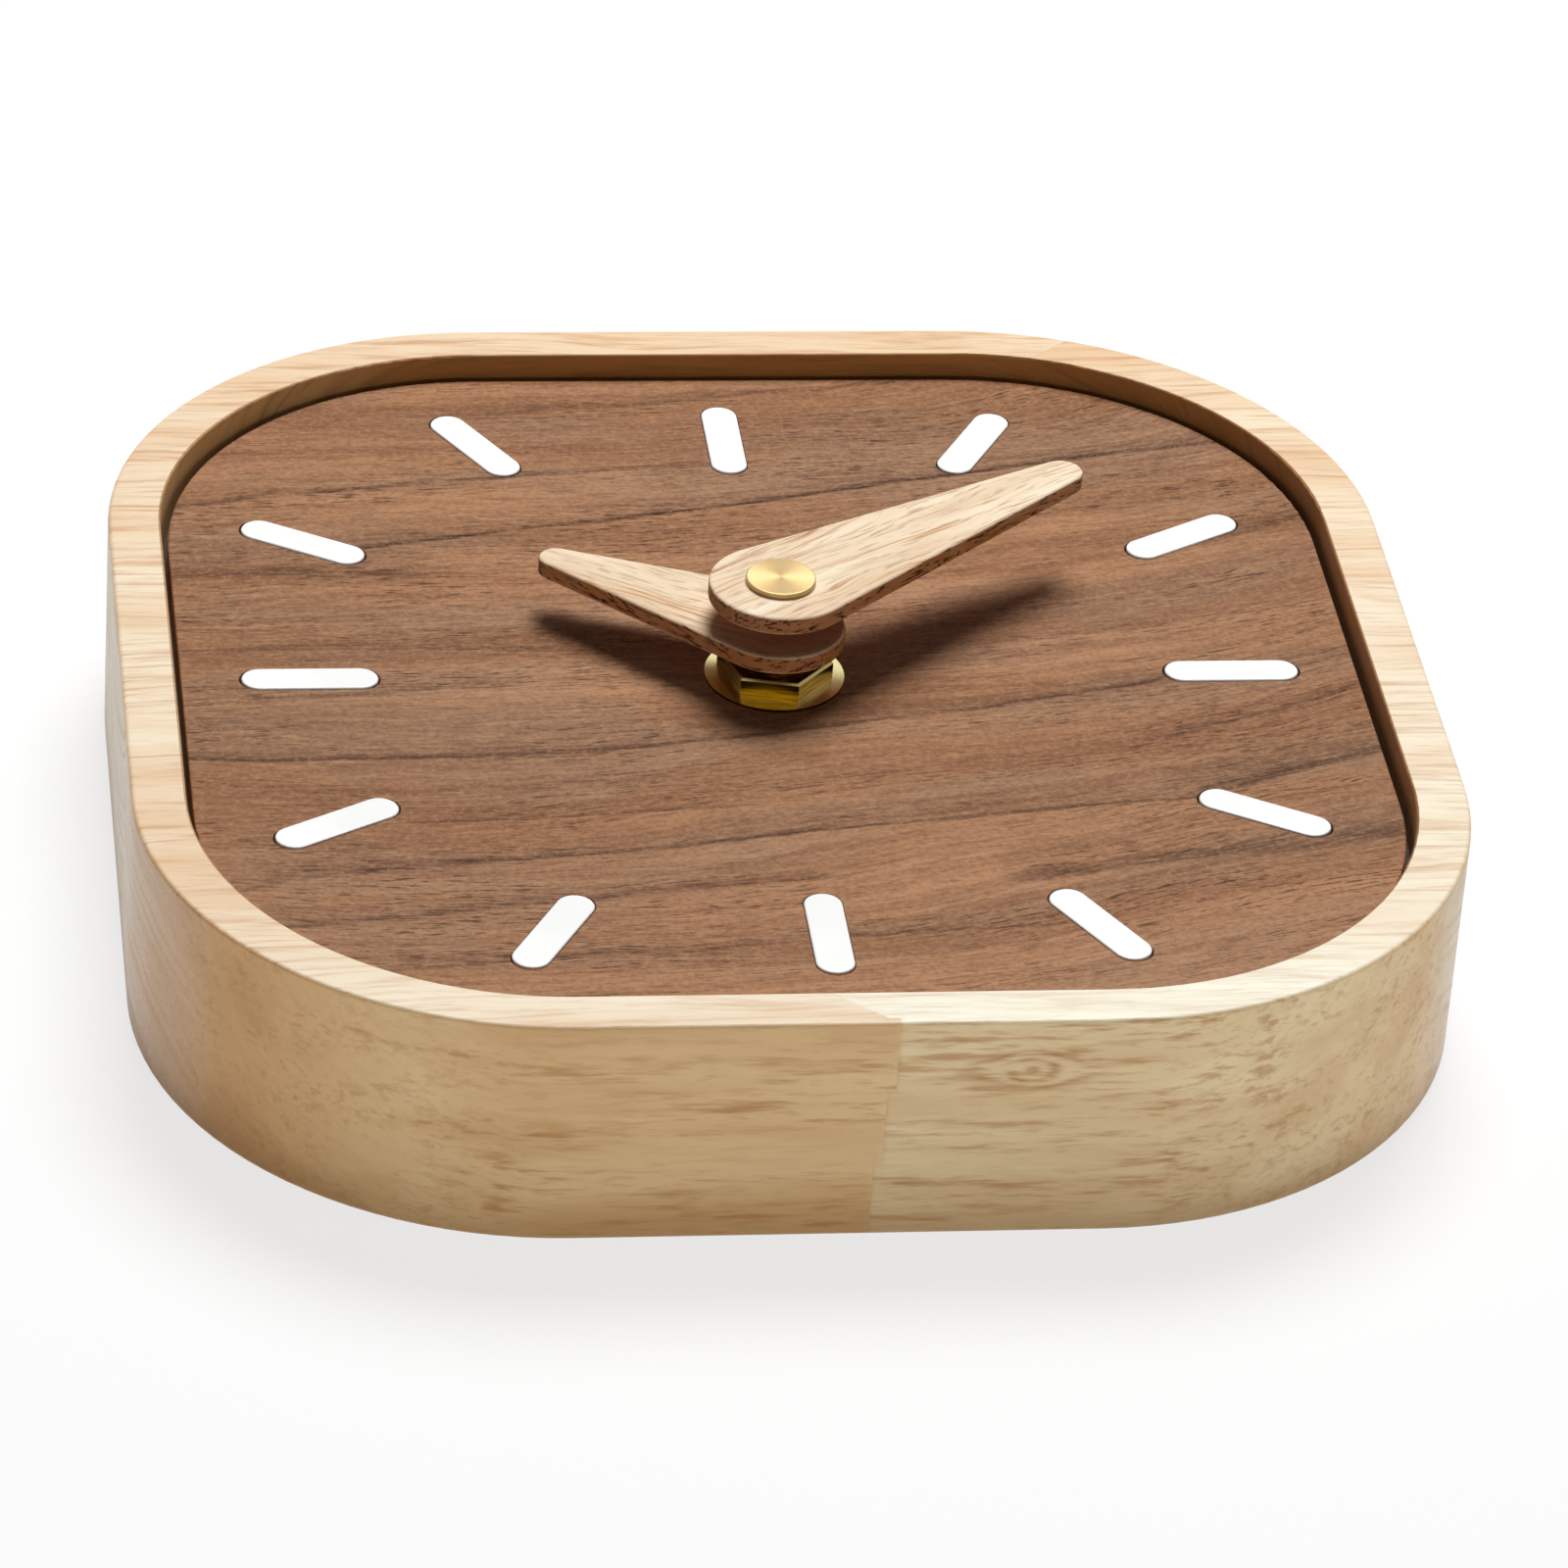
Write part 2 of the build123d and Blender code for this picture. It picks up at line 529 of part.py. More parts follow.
# Rear half of the case: bosses for the arbors, pillars for the plate, and the open battery bay
arbor_places = [axis_at, intermediate_at, rotor_at, third_at]
board_posts = [(board_centre[0] + side * BOARD_EDGE_SHARE * BOARD_WIDTH,
                board_centre[1] + side * BOARD_EDGE_SHARE * BOARD_LENGTH) for side in (1, -1)]
notch_depth = CONTACT_THICKNESS + SEAT_CLEARANCE
with BuildPart() as movement_rear:
    with BuildSketch(Plane.XY.offset(case_rear)):
        with Locations(case_centre):
            RectangleRounded(case_width, case_height, CASE_CORNER_RADIUS)
    extrude(amount=plate_top - case_rear)
    fillet(movement_rear.faces().sort_by(Axis.Z)[0].edges(), radius=CASE_EDGE_RADIUS)
    with BuildSketch(Plane.XY.offset(rear_inner)):
        with Locations(chamber_centre):
            Rectangle(2 * inner_half_width, chamber_top - chamber_bottom)
    extrude(amount=plate_top - rear_inner, mode=Mode.SUBTRACT)
    with BuildSketch(Plane.XY.offset(case_rear)):
        with Locations(bay_centre):
            Rectangle(2 * inner_half_width, bay_top - bay_bottom)
    extrude(amount=plate_top - case_rear, mode=Mode.SUBTRACT)
    with BuildSketch(Plane.XY.offset(strip_bottom)):
        for side in (1, -1):
            with Locations((side * (inner_half_width - notch_depth / 2), (bay_top + chamber_bottom) / 2)):
                Rectangle(notch_depth, CASE_WALL)
    extrude(amount=plate_top - strip_bottom, mode=Mode.SUBTRACT)
    with BuildSketch(Plane.XY.offset(rear_inner)):
        with Locations(arbor_places):
            Circle(BOSS_RADIUS)
        with Locations(knob_at):
            Circle(KNOB_SHAFT_RADIUS + BOSS_RADIUS)
    extrude(amount=boss_top - rear_inner)
    with BuildSketch(Plane.XY.offset(pivot_bottom - AXIAL_GAP)):
        with Locations(arbor_places[1:]):
            Circle(ARBOR_RADIUS + RUNNING_CLEARANCE)
        Circle(SECONDS_ARBOR_RADIUS + RUNNING_CLEARANCE)
    extrude(amount=boss_top - pivot_bottom + AXIAL_GAP, mode=Mode.SUBTRACT)
    with BuildSketch(Plane.XY.offset(case_rear)):
        with Locations(knob_at):
            Circle(KNOB_SHAFT_RADIUS + RUNNING_CLEARANCE)
    extrude(amount=boss_top - case_rear, mode=Mode.SUBTRACT)
    with BuildSketch(Plane.XY.offset(rear_inner)):
        with Locations(pillar_places):
            Circle(PILLAR_RADIUS)
    extrude(amount=plate_bottom - rear_inner)
    with BuildSketch(Plane.XY.offset(rear_inner)):
        with Locations(stator_ends):
            Circle(PILLAR_RADIUS)
    extrude(amount=stator_bottom - rear_inner)
    with BuildSketch(Plane.XY.offset(rear_inner)):
        with Locations(board_posts):
            Circle(PILLAR_RADIUS)
    extrude(amount=board_bottom - rear_inner)
save(movement_rear, "movement_rear")

# Plate between the motion work and the going train, on the pillars
plate_left = coil_x + CHEEK_SIZE / 2 + LOOSE_CLEARANCE
plate_right = inner_half_width - CONTACT_THICKNESS - LOOSE_CLEARANCE
plate_low = chamber_bottom + CONTACT_THICKNESS + LOOSE_CLEARANCE
plate_high = chamber_top - LOOSE_CLEARANCE
with BuildPart() as train_plate:
    with BuildSketch(Plane.XY.offset(plate_bottom)):
        with Locations(((plate_left + plate_right) / 2, (plate_low + plate_high) / 2)):
            Rectangle(plate_right - plate_left, plate_high - plate_low)
        with Locations(arbor_places[1:]):
            Circle(ARBOR_RADIUS + RUNNING_CLEARANCE, mode=Mode.SUBTRACT)
        Circle(SECONDS_ARBOR_RADIUS + RUNNING_CLEARANCE, mode=Mode.SUBTRACT)
        with Locations(knob_at):
            Circle(KNOB_SHAFT_RADIUS + RUNNING_CLEARANCE, mode=Mode.SUBTRACT)
    extrude(amount=PLATE_THICKNESS)
save(train_plate, "train_plate")


def geared_arbor(gears, arbor_radius, arbor_bottom, arbor_top):
    """Toothed layers on one plain arbor."""
    with BuildPart() as piece:
        for gear in gears:
            with BuildSketch(Plane.XY.offset(gear.bottom)):
                with BuildLine():
                    Polyline(*gear_points(gear), close=True)
                make_face()
            extrude(amount=gear.top - gear.bottom)
        with BuildSketch(Plane.XY.offset(arbor_bottom)):
            with Locations(gears[0].centre):
                Circle(arbor_radius)
        extrude(amount=arbor_top - arbor_bottom)
    return piece


# Going train
plate_pivot_top = plate_top - AXIAL_GAP
rotor_pinion = geared_arbor([rotor_gear], ARBOR_RADIUS, pivot_bottom, plate_pivot_top)
save(rotor_pinion, "rotor_pinion")
intermediate_wheel = geared_arbor([intermediate_gear, intermediate_pinion_gear],
                                  ARBOR_RADIUS, pivot_bottom, plate_pivot_top)
save(intermediate_wheel, "intermediate_wheel")
seconds_wheel = geared_arbor([seconds_gear, seconds_pinion_gear],
                             SECONDS_ARBOR_RADIUS, pivot_bottom, seconds_arbor_top)
save(seconds_wheel, "seconds_wheel")
third_wheel = geared_arbor([third_gear, third_pinion_gear], ARBOR_RADIUS, pivot_bottom, centre_wheel_top)
save(third_wheel, "third_wheel")

# Centre wheel, which slips on the minute arbor
with BuildPart() as centre_wheel:
    with BuildSketch(Plane.XY.offset(centre_gear.bottom)):
        with BuildLine():
            Polyline(*gear_points(centre_gear), close=True)
        make_face()
        Circle(MINUTE_SEAT_RADIUS + RUNNING_CLEARANCE, mode=Mode.SUBTRACT)
    extrude(amount=centre_gear.top - centre_gear.bottom)
save(centre_wheel, "centre_wheel")

# Friction washer between the centre wheel and the cannon pinion
with BuildPart() as clutch_washer:
    with BuildSketch(Plane.XY.offset(centre_wheel_top + SEAT_CLEARANCE)):
        Circle(MINUTE_SEAT_RADIUS + CLUTCH_WIDTH)
        Circle(MINUTE_SEAT_RADIUS, mode=Mode.SUBTRACT)
    extrude(amount=LEVEL_GAP - SEAT_CLEARANCE)
save(clutch_washer, "clutch_washer")

# Minute arbor: foot, seat for the centre wheel, cannon pinion, pipe, and the tip for the cap
with BuildPart() as minute_arbor:
    with BuildSketch(Plane.XY.offset(minute_foot_bottom)):
        Circle(MINUTE_FOOT_RADIUS)
    extrude(amount=MINUTE_FOOT_THICKNESS)
    with BuildSketch(Plane.XY.offset(centre_wheel_bottom)):
        Circle(MINUTE_SEAT_RADIUS)
    extrude(amount=motion_wheel_bottom - centre_wheel_bottom)
    with BuildSketch(Plane.XY.offset(cannon_gear.bottom)):
        with BuildLine():
            Polyline(*gear_points(cannon_gear), close=True)
        make_face()
    extrude(amount=cannon_gear.top - cannon_gear.bottom)
    with BuildSketch(Plane.XY.offset(motion_wheel_top)):
        Circle(MINUTE_PIPE_RADIUS)
    extrude(amount=minute_hand_bottom - motion_wheel_top)
    with BuildSketch(Plane.XY.offset(minute_hand_bottom)):
        Circle(MINUTE_TIP_NECK_RADIUS)
    extrude(amount=HAND_THICKNESS)
    with BuildSketch(Plane.XY.offset(minute_foot_bottom)):
        Circle(SECONDS_ARBOR_RADIUS + RUNNING_CLEARANCE)
    extrude(amount=seconds_arbor_top + AXIAL_GAP - minute_foot_bottom, mode=Mode.SUBTRACT)
save(minute_arbor, "minute_arbor")

# Motion wheel and its pinion, on the post of the front case
with BuildPart() as motion_wheel:
    for gear in (motion_gear, motion_pinion_gear):
        with BuildSketch(Plane.XY.offset(gear.bottom)):
            with BuildLine():
                Polyline(*gear_points(gear), close=True)
            make_face()
            with Locations(gear.centre):
                Circle(MOTION_POST_RADIUS + RUNNING_CLEARANCE, mode=Mode.SUBTRACT)
        extrude(amount=gear.top - gear.bottom)
save(motion_wheel, "motion_wheel")

# Hour wheel and the pipe that carries the hour hand
with BuildPart() as hour_wheel:
    with BuildSketch(Plane.XY.offset(hour_gear.bottom)):
        with BuildLine():
            Polyline(*gear_points(hour_gear), close=True)
        make_face()
    extrude(amount=hour_gear.top - hour_gear.bottom)
    with BuildSketch(Plane.XY.offset(hour_wheel_top)):
        Circle(HOUR_PIPE_RADIUS)
    extrude(amount=hour_hand_top - hour_wheel_top)
    with BuildSketch(Plane.XY.offset(hour_wheel_bottom)):
        Circle(MINUTE_PIPE_RADIUS + RUNNING_CLEARANCE)
    extrude(amount=hour_hand_top - hour_wheel_bottom, mode=Mode.SUBTRACT)
save(hour_wheel, "hour_wheel")

# Setting knob: gripped disc behind the case, shaft, pinion and front pivot
with BuildPart() as setting_knob:
    with BuildSketch(Plane.XY.offset(knob_bottom)):
        with Locations(knob_at):
            Circle(KNOB_RADIUS)
            with PolarLocations(KNOB_RADIUS, KNOB_GRIP_COUNT):
                Circle(KNOB_GRIP_RADIUS, mode=Mode.SUBTRACT)
    extrude(amount=KNOB_THICKNESS)
    with BuildSketch(Plane.XY.offset(knob_top)):
        with Locations(knob_at):
            Circle(KNOB_SHAFT_RADIUS)
    extrude(amount=motion_wheel_bottom - knob_top)
    with BuildSketch(Plane.XY.offset(knob_gear.bottom)):
        with BuildLine():
            Polyline(*gear_points(knob_gear), close=True)
        make_face()
    extrude(amount=knob_gear.top - knob_gear.bottom)
    with BuildSketch(Plane.XY.offset(motion_wheel_top)):
        with Locations(knob_at):
            Circle(KNOB_PIVOT_RADIUS)
    extrude(amount=hour_wheel_top - motion_wheel_top)
save(setting_knob, "setting_knob")

# Step motor: magnet on the rotor's arbor, stator round it, coil on its core
with BuildPart() as rotor_magnet:
    with BuildSketch(Plane.XY.offset(seconds_wheel_bottom)):
        with Locations(rotor_at):
            Circle(MAGNET_RADIUS)
            Circle(ARBOR_RADIUS, mode=Mode.SUBTRACT)
    extrude(amount=MAGNET_THICKNESS)
save(rotor_magnet, "rotor_magnet")

with BuildPart() as stator:
    with BuildSketch(Plane.XY.offset(stator_bottom)):
        with BuildLine():
            Polyline(stator_ends[0], (arm_corner_x, stator_ends[0][1]), rotor_at,
                     (arm_corner_x, stator_ends[1][1]), stator_ends[1])
        trace(line_width=STATOR_ARM)
        with Locations(rotor_at):
            Circle(stator_ring_radius)
            Circle(magnet_hole_radius, mode=Mode.SUBTRACT)
    extrude(amount=STATOR_THICKNESS)
save(stator, "stator")

core_middle = stator_top + CORE_THICKNESS / 2
with BuildPart() as coil_core:
    with BuildSketch(Plane.XY.offset(stator_top)):
        with Locations((coil_x, COIL_CENTRE_Y)):
            Rectangle(CORE_WIDTH, core_length)
    extrude(amount=CORE_THICKNESS)
save(coil_core, "coil_core")

coil_plane = Plane((coil_x, COIL_CENTRE_Y - COIL_LENGTH / 2, core_middle), x_dir=(-1, 0, 0), z_dir=(0, 1, 0))
barrel_width = CORE_WIDTH + 2 * BARREL_WALL
barrel_height = CORE_THICKNESS + 2 * BARREL_WALL
with BuildPart() as coil_bobbin:
    with BuildSketch(coil_plane):
        Rectangle(barrel_width, barrel_height)
    extrude(amount=COIL_LENGTH)
    with BuildSketch(coil_plane, coil_plane.offset(COIL_LENGTH - CHEEK_THICKNESS)):
        Rectangle(CHEEK_SIZE, CHEEK_SIZE)
    extrude(amount=CHEEK_THICKNESS)
    with BuildSketch(coil_plane):
        Rectangle(CORE_WIDTH + 2 * SEAT_CLEARANCE, CORE_THICKNESS + 2 * SEAT_CLEARANCE)
    extrude(amount=COIL_LENGTH, mode=Mode.SUBTRACT)
save(coil_bobbin, "coil_bobbin")

with BuildPart() as coil_winding:
    with BuildSketch(coil_plane.offset(CHEEK_THICKNESS)):
        RectangleRounded(WINDING_SIZE, WINDING_SIZE, WINDING_CORNER_RADIUS)
        Rectangle(barrel_width, barrel_height, mode=Mode.SUBTRACT)
    extrude(amount=COIL_LENGTH - 2 * CHEEK_THICKNESS)
save(coil_winding, "coil_winding")

# Circuit board with its chip and quartz crystal
with BuildPart() as circuit_board:
    with BuildSketch(Plane.XY.offset(board_bottom)):
        with Locations(board_centre):
            Rectangle(BOARD_WIDTH, BOARD_LENGTH)
    extrude(amount=BOARD_THICKNESS)
save(circuit_board, "circuit_board")

with BuildPart() as clock_chip:
    with BuildSketch(Plane.XY.offset(board_top)):
        with Locations((board_centre[0] - BOARD_EDGE_SHARE * BOARD_WIDTH, board_centre[1])):
            Rectangle(CHIP_SIZE, CHIP_SIZE)
    extrude(amount=CHIP_HEIGHT)
save(clock_chip, "clock_chip")

crystal_plane = Plane((board_centre[0] + BOARD_EDGE_SHARE * BOARD_WIDTH - CRYSTAL_RADIUS,
                       board_centre[1] - CRYSTAL_LENGTH / 2, board_top + CRYSTAL_RADIUS),
                      x_dir=(1, 0, 0), z_dir=(0, 1, 0))
with BuildPart() as quartz_crystal:
    with BuildSketch(crystal_plane):
        Circle(CRYSTAL_RADIUS)
    extrude(amount=CRYSTAL_LENGTH)
save(quartz_crystal, "quartz_crystal")

# Battery along the bay, with its positive end at +X
battery_plane = Plane((-BATTERY_LENGTH / 2, bay_centre[1], battery_height), x_dir=(0, 1, 0), z_dir=(1, 0, 0))
with BuildPart() as battery:
    with BuildSketch(battery_plane):
        Circle(BATTERY_DIAMETER / 2)
    extrude(amount=BATTERY_LENGTH - BATTERY_NUB_LENGTH)
    fillet(battery.edges().filter_by(GeomType.CIRCLE), radius=BATTERY_EDGE_RADIUS)
    with BuildSketch(battery_plane.offset(BATTERY_LENGTH - BATTERY_NUB_LENGTH)):
        Circle(BATTERY_NUB_RADIUS)
    extrude(amount=BATTERY_NUB_LENGTH)
save(battery, "battery")

# Battery contacts: a plate at each end of the bay, and a strip that runs to the circuit board
strip_middle = inner_half_width - CONTACT_THICKNESS / 2
divider_middle = chamber_bottom + CONTACT_THICKNESS / 2
contact_top = battery_height + CONTACT_SIZE / 2
contact_bottom = battery_height - CONTACT_SIZE / 2
with BuildPart() as contact_positive:
    with BuildSketch(Plane.XY.offset(contact_bottom)):
        with Locations((strip_middle, bay_centre[1])):
            Rectangle(CONTACT_THICKNESS, CONTACT_SIZE)
    extrude(amount=CONTACT_SIZE)
    with BuildSketch(battery_plane.offset(BATTERY_LENGTH + SEAT_CLEARANCE)):
        Circle(CONTACT_BUMP_RADIUS)
    extrude(amount=inner_half_width - BATTERY_LENGTH / 2 - SEAT_CLEARANCE)
    with BuildSketch(Plane.XY.offset(upper_strip_bottom)):
        with BuildLine():
            Line((strip_middle, bay_centre[1]), (strip_middle, board_low_y + 3 * STRIP_WIDTH))
        trace(line_width=CONTACT_THICKNESS)
    extrude(amount=upper_strip_top - upper_strip_bottom)
    with BuildSketch(Plane.XY.offset(board_top)):
        with Locations((strip_middle, board_low_y + 2.5 * STRIP_WIDTH)):
            Rectangle(CONTACT_THICKNESS, STRIP_WIDTH)
    extrude(amount=upper_strip_top - board_top)
save(contact_positive, "contact_positive")

leaf_tip = (SEAT_CLEARANCE + CONTACT_THICKNESS / 2) + BATTERY_LENGTH / 2
with BuildPart() as contact_negative:
    with BuildSketch(Plane.XY.offset(contact_bottom)):
        with Locations((-strip_middle, bay_centre[1])):
            Rectangle(CONTACT_THICKNESS, CONTACT_SIZE)
        with BuildLine():
            ThreePointArc((-strip_middle, bay_centre[1] - CONTACT_SIZE / 2), (-leaf_tip, bay_centre[1]),
                          (-strip_middle, bay_centre[1] + CONTACT_SIZE / 2))
        trace(line_width=CONTACT_THICKNESS)
    extrude(amount=CONTACT_SIZE)
    with BuildSketch(Plane.XY.offset(strip_bottom)):
        with BuildLine():
            Polyline((-strip_middle, bay_centre[1]), (-strip_middle, divider_middle),
                     (strip_middle, divider_middle), (strip_middle, board_low_y + STRIP_WIDTH))
        trace(line_width=CONTACT_THICKNESS)
    extrude(amount=STRIP_WIDTH)
save(contact_negative, "contact_negative")

# The places that the joints turn about, and the heights
for name, place in (("rotor", rotor_at), ("intermediate", intermediate_at), ("third", third_at),
                    ("motion", motion_at), ("knob", knob_at)):
    print(f"{name} axis at {place[0]:.4f}, {place[1]:.4f}")
print(f"case rear {case_rear:.3f} front {case_front:.3f}, dial top {dial_top:.3f}, frame top {frame_top:.3f}")
print(f"case {case_width:.3f} by {case_height:.3f} centred at y {case_centre[1]:.3f}")
print(f"chamber bottom {chamber_bottom:.3f}, boss top {boss_top:.3f}, rear inner {rear_inner:.3f}")
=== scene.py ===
import math
from types import SimpleNamespace

import bmesh
import bpy
from mathutils import Matrix, Vector


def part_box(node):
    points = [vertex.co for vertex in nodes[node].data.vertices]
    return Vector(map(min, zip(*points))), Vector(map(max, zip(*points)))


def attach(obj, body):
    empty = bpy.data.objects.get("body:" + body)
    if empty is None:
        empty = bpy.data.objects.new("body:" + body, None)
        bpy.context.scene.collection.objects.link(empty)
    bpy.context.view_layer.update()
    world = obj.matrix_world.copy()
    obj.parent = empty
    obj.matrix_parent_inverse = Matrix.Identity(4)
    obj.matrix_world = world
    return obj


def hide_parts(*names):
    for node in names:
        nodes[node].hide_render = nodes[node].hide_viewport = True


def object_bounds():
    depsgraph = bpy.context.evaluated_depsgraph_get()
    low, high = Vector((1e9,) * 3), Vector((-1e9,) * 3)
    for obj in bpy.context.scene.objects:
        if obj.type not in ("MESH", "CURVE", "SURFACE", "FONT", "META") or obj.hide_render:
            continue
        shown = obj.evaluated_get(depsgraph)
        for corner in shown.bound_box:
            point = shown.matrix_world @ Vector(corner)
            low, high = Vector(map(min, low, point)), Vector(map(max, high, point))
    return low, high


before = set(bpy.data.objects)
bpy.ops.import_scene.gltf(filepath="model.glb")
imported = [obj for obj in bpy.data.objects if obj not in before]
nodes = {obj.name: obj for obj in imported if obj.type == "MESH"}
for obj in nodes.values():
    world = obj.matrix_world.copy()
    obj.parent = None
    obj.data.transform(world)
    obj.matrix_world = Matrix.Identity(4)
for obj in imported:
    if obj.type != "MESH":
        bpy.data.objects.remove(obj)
cad_low, cad_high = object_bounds()


def srgb(red, green, blue):
    """A colour given 0 to 255, as the linear colour that shaders take."""
    linear = [((c / 255 + 0.055) / 1.055) ** 2.4 if c > 10 else c / 255 / 12.92 for c in (red, green, blue)]
    return (*linear, 1.0)


# Camera, fitted to the photograph, in metres and degrees
CAMERA_AZIMUTH = -8.8173
CAMERA_ELEVATION = 32.5355
CAMERA_ROLL = 4.1554
CAMERA_DISTANCE = 0.88986
CAMERA_AIM = (-0.0015, -0.0230, 0.0250)
CAMERA_NEAREST = 0.01
CAMERA_FOCAL_PIXELS = 8084.4
IMAGE_PIXELS = 1600
SENSOR_WIDTH = 36.0

# Floor, in metres: a disc with an opening that follows the frame's outline
FLOOR_DROP = 0.00005
FLOOR_RADIUS = 3.0
FLOOR_OPENING_INSET = 0.0012
FRAME_CORNER_RADIUS = 0.046
# Share of plain white in the floor that the eye meets: this much near the clock, and all of it past the fade
FLOOR_WHITE_SHARE = 0.75
FLOOR_FADE = (0.16, 0.45)
FLOOR_ALBEDO = 0.90
WHITE = (1, 1, 1, 1)

# Lamps, in metres and watts: name, place, size across and up, power
LAMPS = (
    ("top_light", (0.15, 0.55, 1.10), (0.62, 0.62), 16.4),
    ("front_light", (0.10, -1.20, 0.075), (2.6, 0.12), 4.05),
    ("under_light", (0.0, 0.0, -0.60), (0.40, 0.40), 2.4),
)
WORLD_STRENGTH = 0.065

# Wooden frame, in millimetres: staves glued side by side, each finger-jointed once along its length
STAVE_EDGES = (-18.5, 20.0, 57.0)
STAVE_JOINTS = (3.2, 33.0, -12.0, 46.0)
STAVE_TONES_LEFT = (0.22, 0.40, 0.20, 0.05)
STAVE_TONES_RIGHT = (0.63, 0.45, 0.30, 0.05)
FRONT_TONE = 0.35
FRONT_REACH = (-75.0, -52.0)
BACK_REACH = (-30.0, 30.0)
BROWNED_X = (-70.0, -44.0)
BROWNED_Y = (-46.0, -16.0)
# Height in which the upright faces darken towards the floor, as painted shade
FOOT_SHADE_REACH = (0.2, 5.0)
# How far the pattern is shifted from one block of timber to the next
BLOCK_SHIFT = (61.0, 17.0, 9.0)
# Heart of the tree that each block was cut from, Y and Z, left blocks first: its rings show on the end grain
HEARTS = ((-30, -30), (10, 60), (52, -25), (40, 70), (-64, -28), (-6, -34), (30, 64), (100, -20))
HEART_REACH = 100.0
FINGER_LENGTH = 9.0
FINGER_PITCH = 7.5
FINGER_MARGIN = 1.0
FINGER_STEP = 0.9
FINGER_STEP_HEIGHT = 9.5
JOINT_BLEND = 0.7
SEAM_REACH = (0.03, 0.30)
KNOT_PLACE = (19.6, 21.6)
KNOT_SIZE = (4.4, 2.6)
KNOT_SPACING = 1.15
KNOT_BACK = -60.0
DIAL_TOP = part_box("walnut_dial")[1].z * 1000
RECESS_DEPTH = 6.0
RECESS_INWARD = (-6.0, -1.0)

# Colours of the wooden frame
RIM_DEEP = srgb(236, 207, 170)
RIM_PALE = srgb(255, 253, 232)
RIM_BANDS = srgb(224, 182, 136)
# Side colours: the rim's wood drawn darker and warmer, as painted warm shade on the upright faces, paler
# towards the back
SIDE_DEEP_SHADED = srgb(240, 184, 116)
SIDE_PALE_SHADED = srgb(255, 232, 184)
SIDE_BACK_SHADED = srgb(244, 214, 170)
SIDE_BROWNED = srgb(226, 166, 102)
SIDE_BANDS_SHADED = srgb(216, 164, 104)
SIDE_FOOT_SHADE = srgb(190, 132, 70)
# End grain: its own pale tone with painted sheen laid in
END_GRAIN_AND_SHEEN = srgb(255, 242, 221)
END_YEARS = srgb(208, 160, 110)
END_PORES = srgb(170, 120, 76)
GROWTH_LINES = srgb(200, 148, 98)
LONG_PORES = srgb(194, 136, 74)
SHORT_PORES = srgb(192, 130, 70)
FINE_SPECKS = srgb(168, 116, 68)
KNOT_BROWN = srgb(184, 122, 62)
SEAM_BROWN = srgb(150, 112, 74)
# Recess colours: painted shade on the right and far walls and on the floor under the dial, a painted lit tone
# on the left wall
RECESS_RIGHT_SHADE = srgb(150, 98, 44)
RECESS_FAR_SHADE = srgb(160, 104, 38)
RECESS_LEFT_LIT = srgb(196, 158, 104)
RECESS_LINES = srgb(90, 54, 18)
RECESS_FLOOR_SHADE = srgb(60, 38, 18)

# Dark streaks of the walnut dial, in millimetres, drawn from the photograph:
# from X, to X, then Y = height + slope * X + bend * X * X, width, depth of tone
STREAKS = (
    (-68, 46, -12.3, 0.178, 0.00167, 0.8, 0.80),
    (-51, 46, -33.2, 0.142, 0.00015, 0.8, 0.85),
    (-60, 0, -42.3, 0.148, 0.00010, 1.0, 0.60),
    (-50, -8, -54.0, 0.107, 0.0, 0.8, 0.50),
    (-46, 62, 38.8, 0.231, 0.00007, 0.9, 1.00),
    (-68, -3, 47.8, 0.063, -0.00119, 1.0, 0.70),
    (-68, -44, 22.8, 0.0, 0.0, 2.4, 0.70),
    (-68, -27, 5.7, -0.011, 0.0, 1.2, 0.45),
    (-68, -34, 1.1, 0.090, 0.0, 1.0, 0.50),
    (-45, -11, -27.1, 0.070, 0.0, 0.6, 0.60),
    (-63, -49, -25.0, 0.290, 0.0, 1.4, 0.50),
    (46, 68, -32.9, 0.426, 0.0, 0.9, 0.70),
    (49, 68, -43.8, 0.395, 0.0, 2.2, 0.80),
    (27, 68, -47.7, 0.209, 0.0, 2.8, 0.75),
    (0, 22, -53.5, 0.061, 0.0, 0.7, 0.60),
    (-30, 21, 63.8, 0.136, 0.0, 1.2, 0.40),
    (58, 68, 3.3, 0.468, 0.0, 1.4, 0.60),
)
STREAK_FADE = 9.0
GRAIN_SLOPE = 0.15
GRAIN_BEND = 0.0012
# Reaches of the dial's painted shade at its ends and painted light over its front
DIAL_SHADED_ENDS = (25.0, 75.0)
DIAL_LIT_FRONT = (-70.0, 0.0)

# Colours of the walnut dial
WALNUT_BANDS = ((0.30, srgb(140, 98, 70)), (0.50, srgb(168, 122, 88)), (0.72, srgb(188, 141, 105)))
WALNUT_PATCHES = srgb(152, 123, 100)
# Painted shade at the dial's ends and painted light over its front
WALNUT_ENDS_SHADE = srgb(128, 94, 70)
WALNUT_FRONT_LIGHT = srgb(196, 148, 112)
WALNUT_THREADS = srgb(124, 83, 60)
WALNUT_DARK_FIBRES = srgb(112, 74, 54)
WALNUT_LIGHT_FIBRES = srgb(200, 154, 116)
WALNUT_STREAKS = srgb(66, 43, 36)
WALNUT_PORES = srgb(66, 43, 33)
WALNUT_LIGHT_MOTTLE = srgb(208, 160, 124)
WALNUT_DARK_MOTTLE = srgb(100, 64, 46)

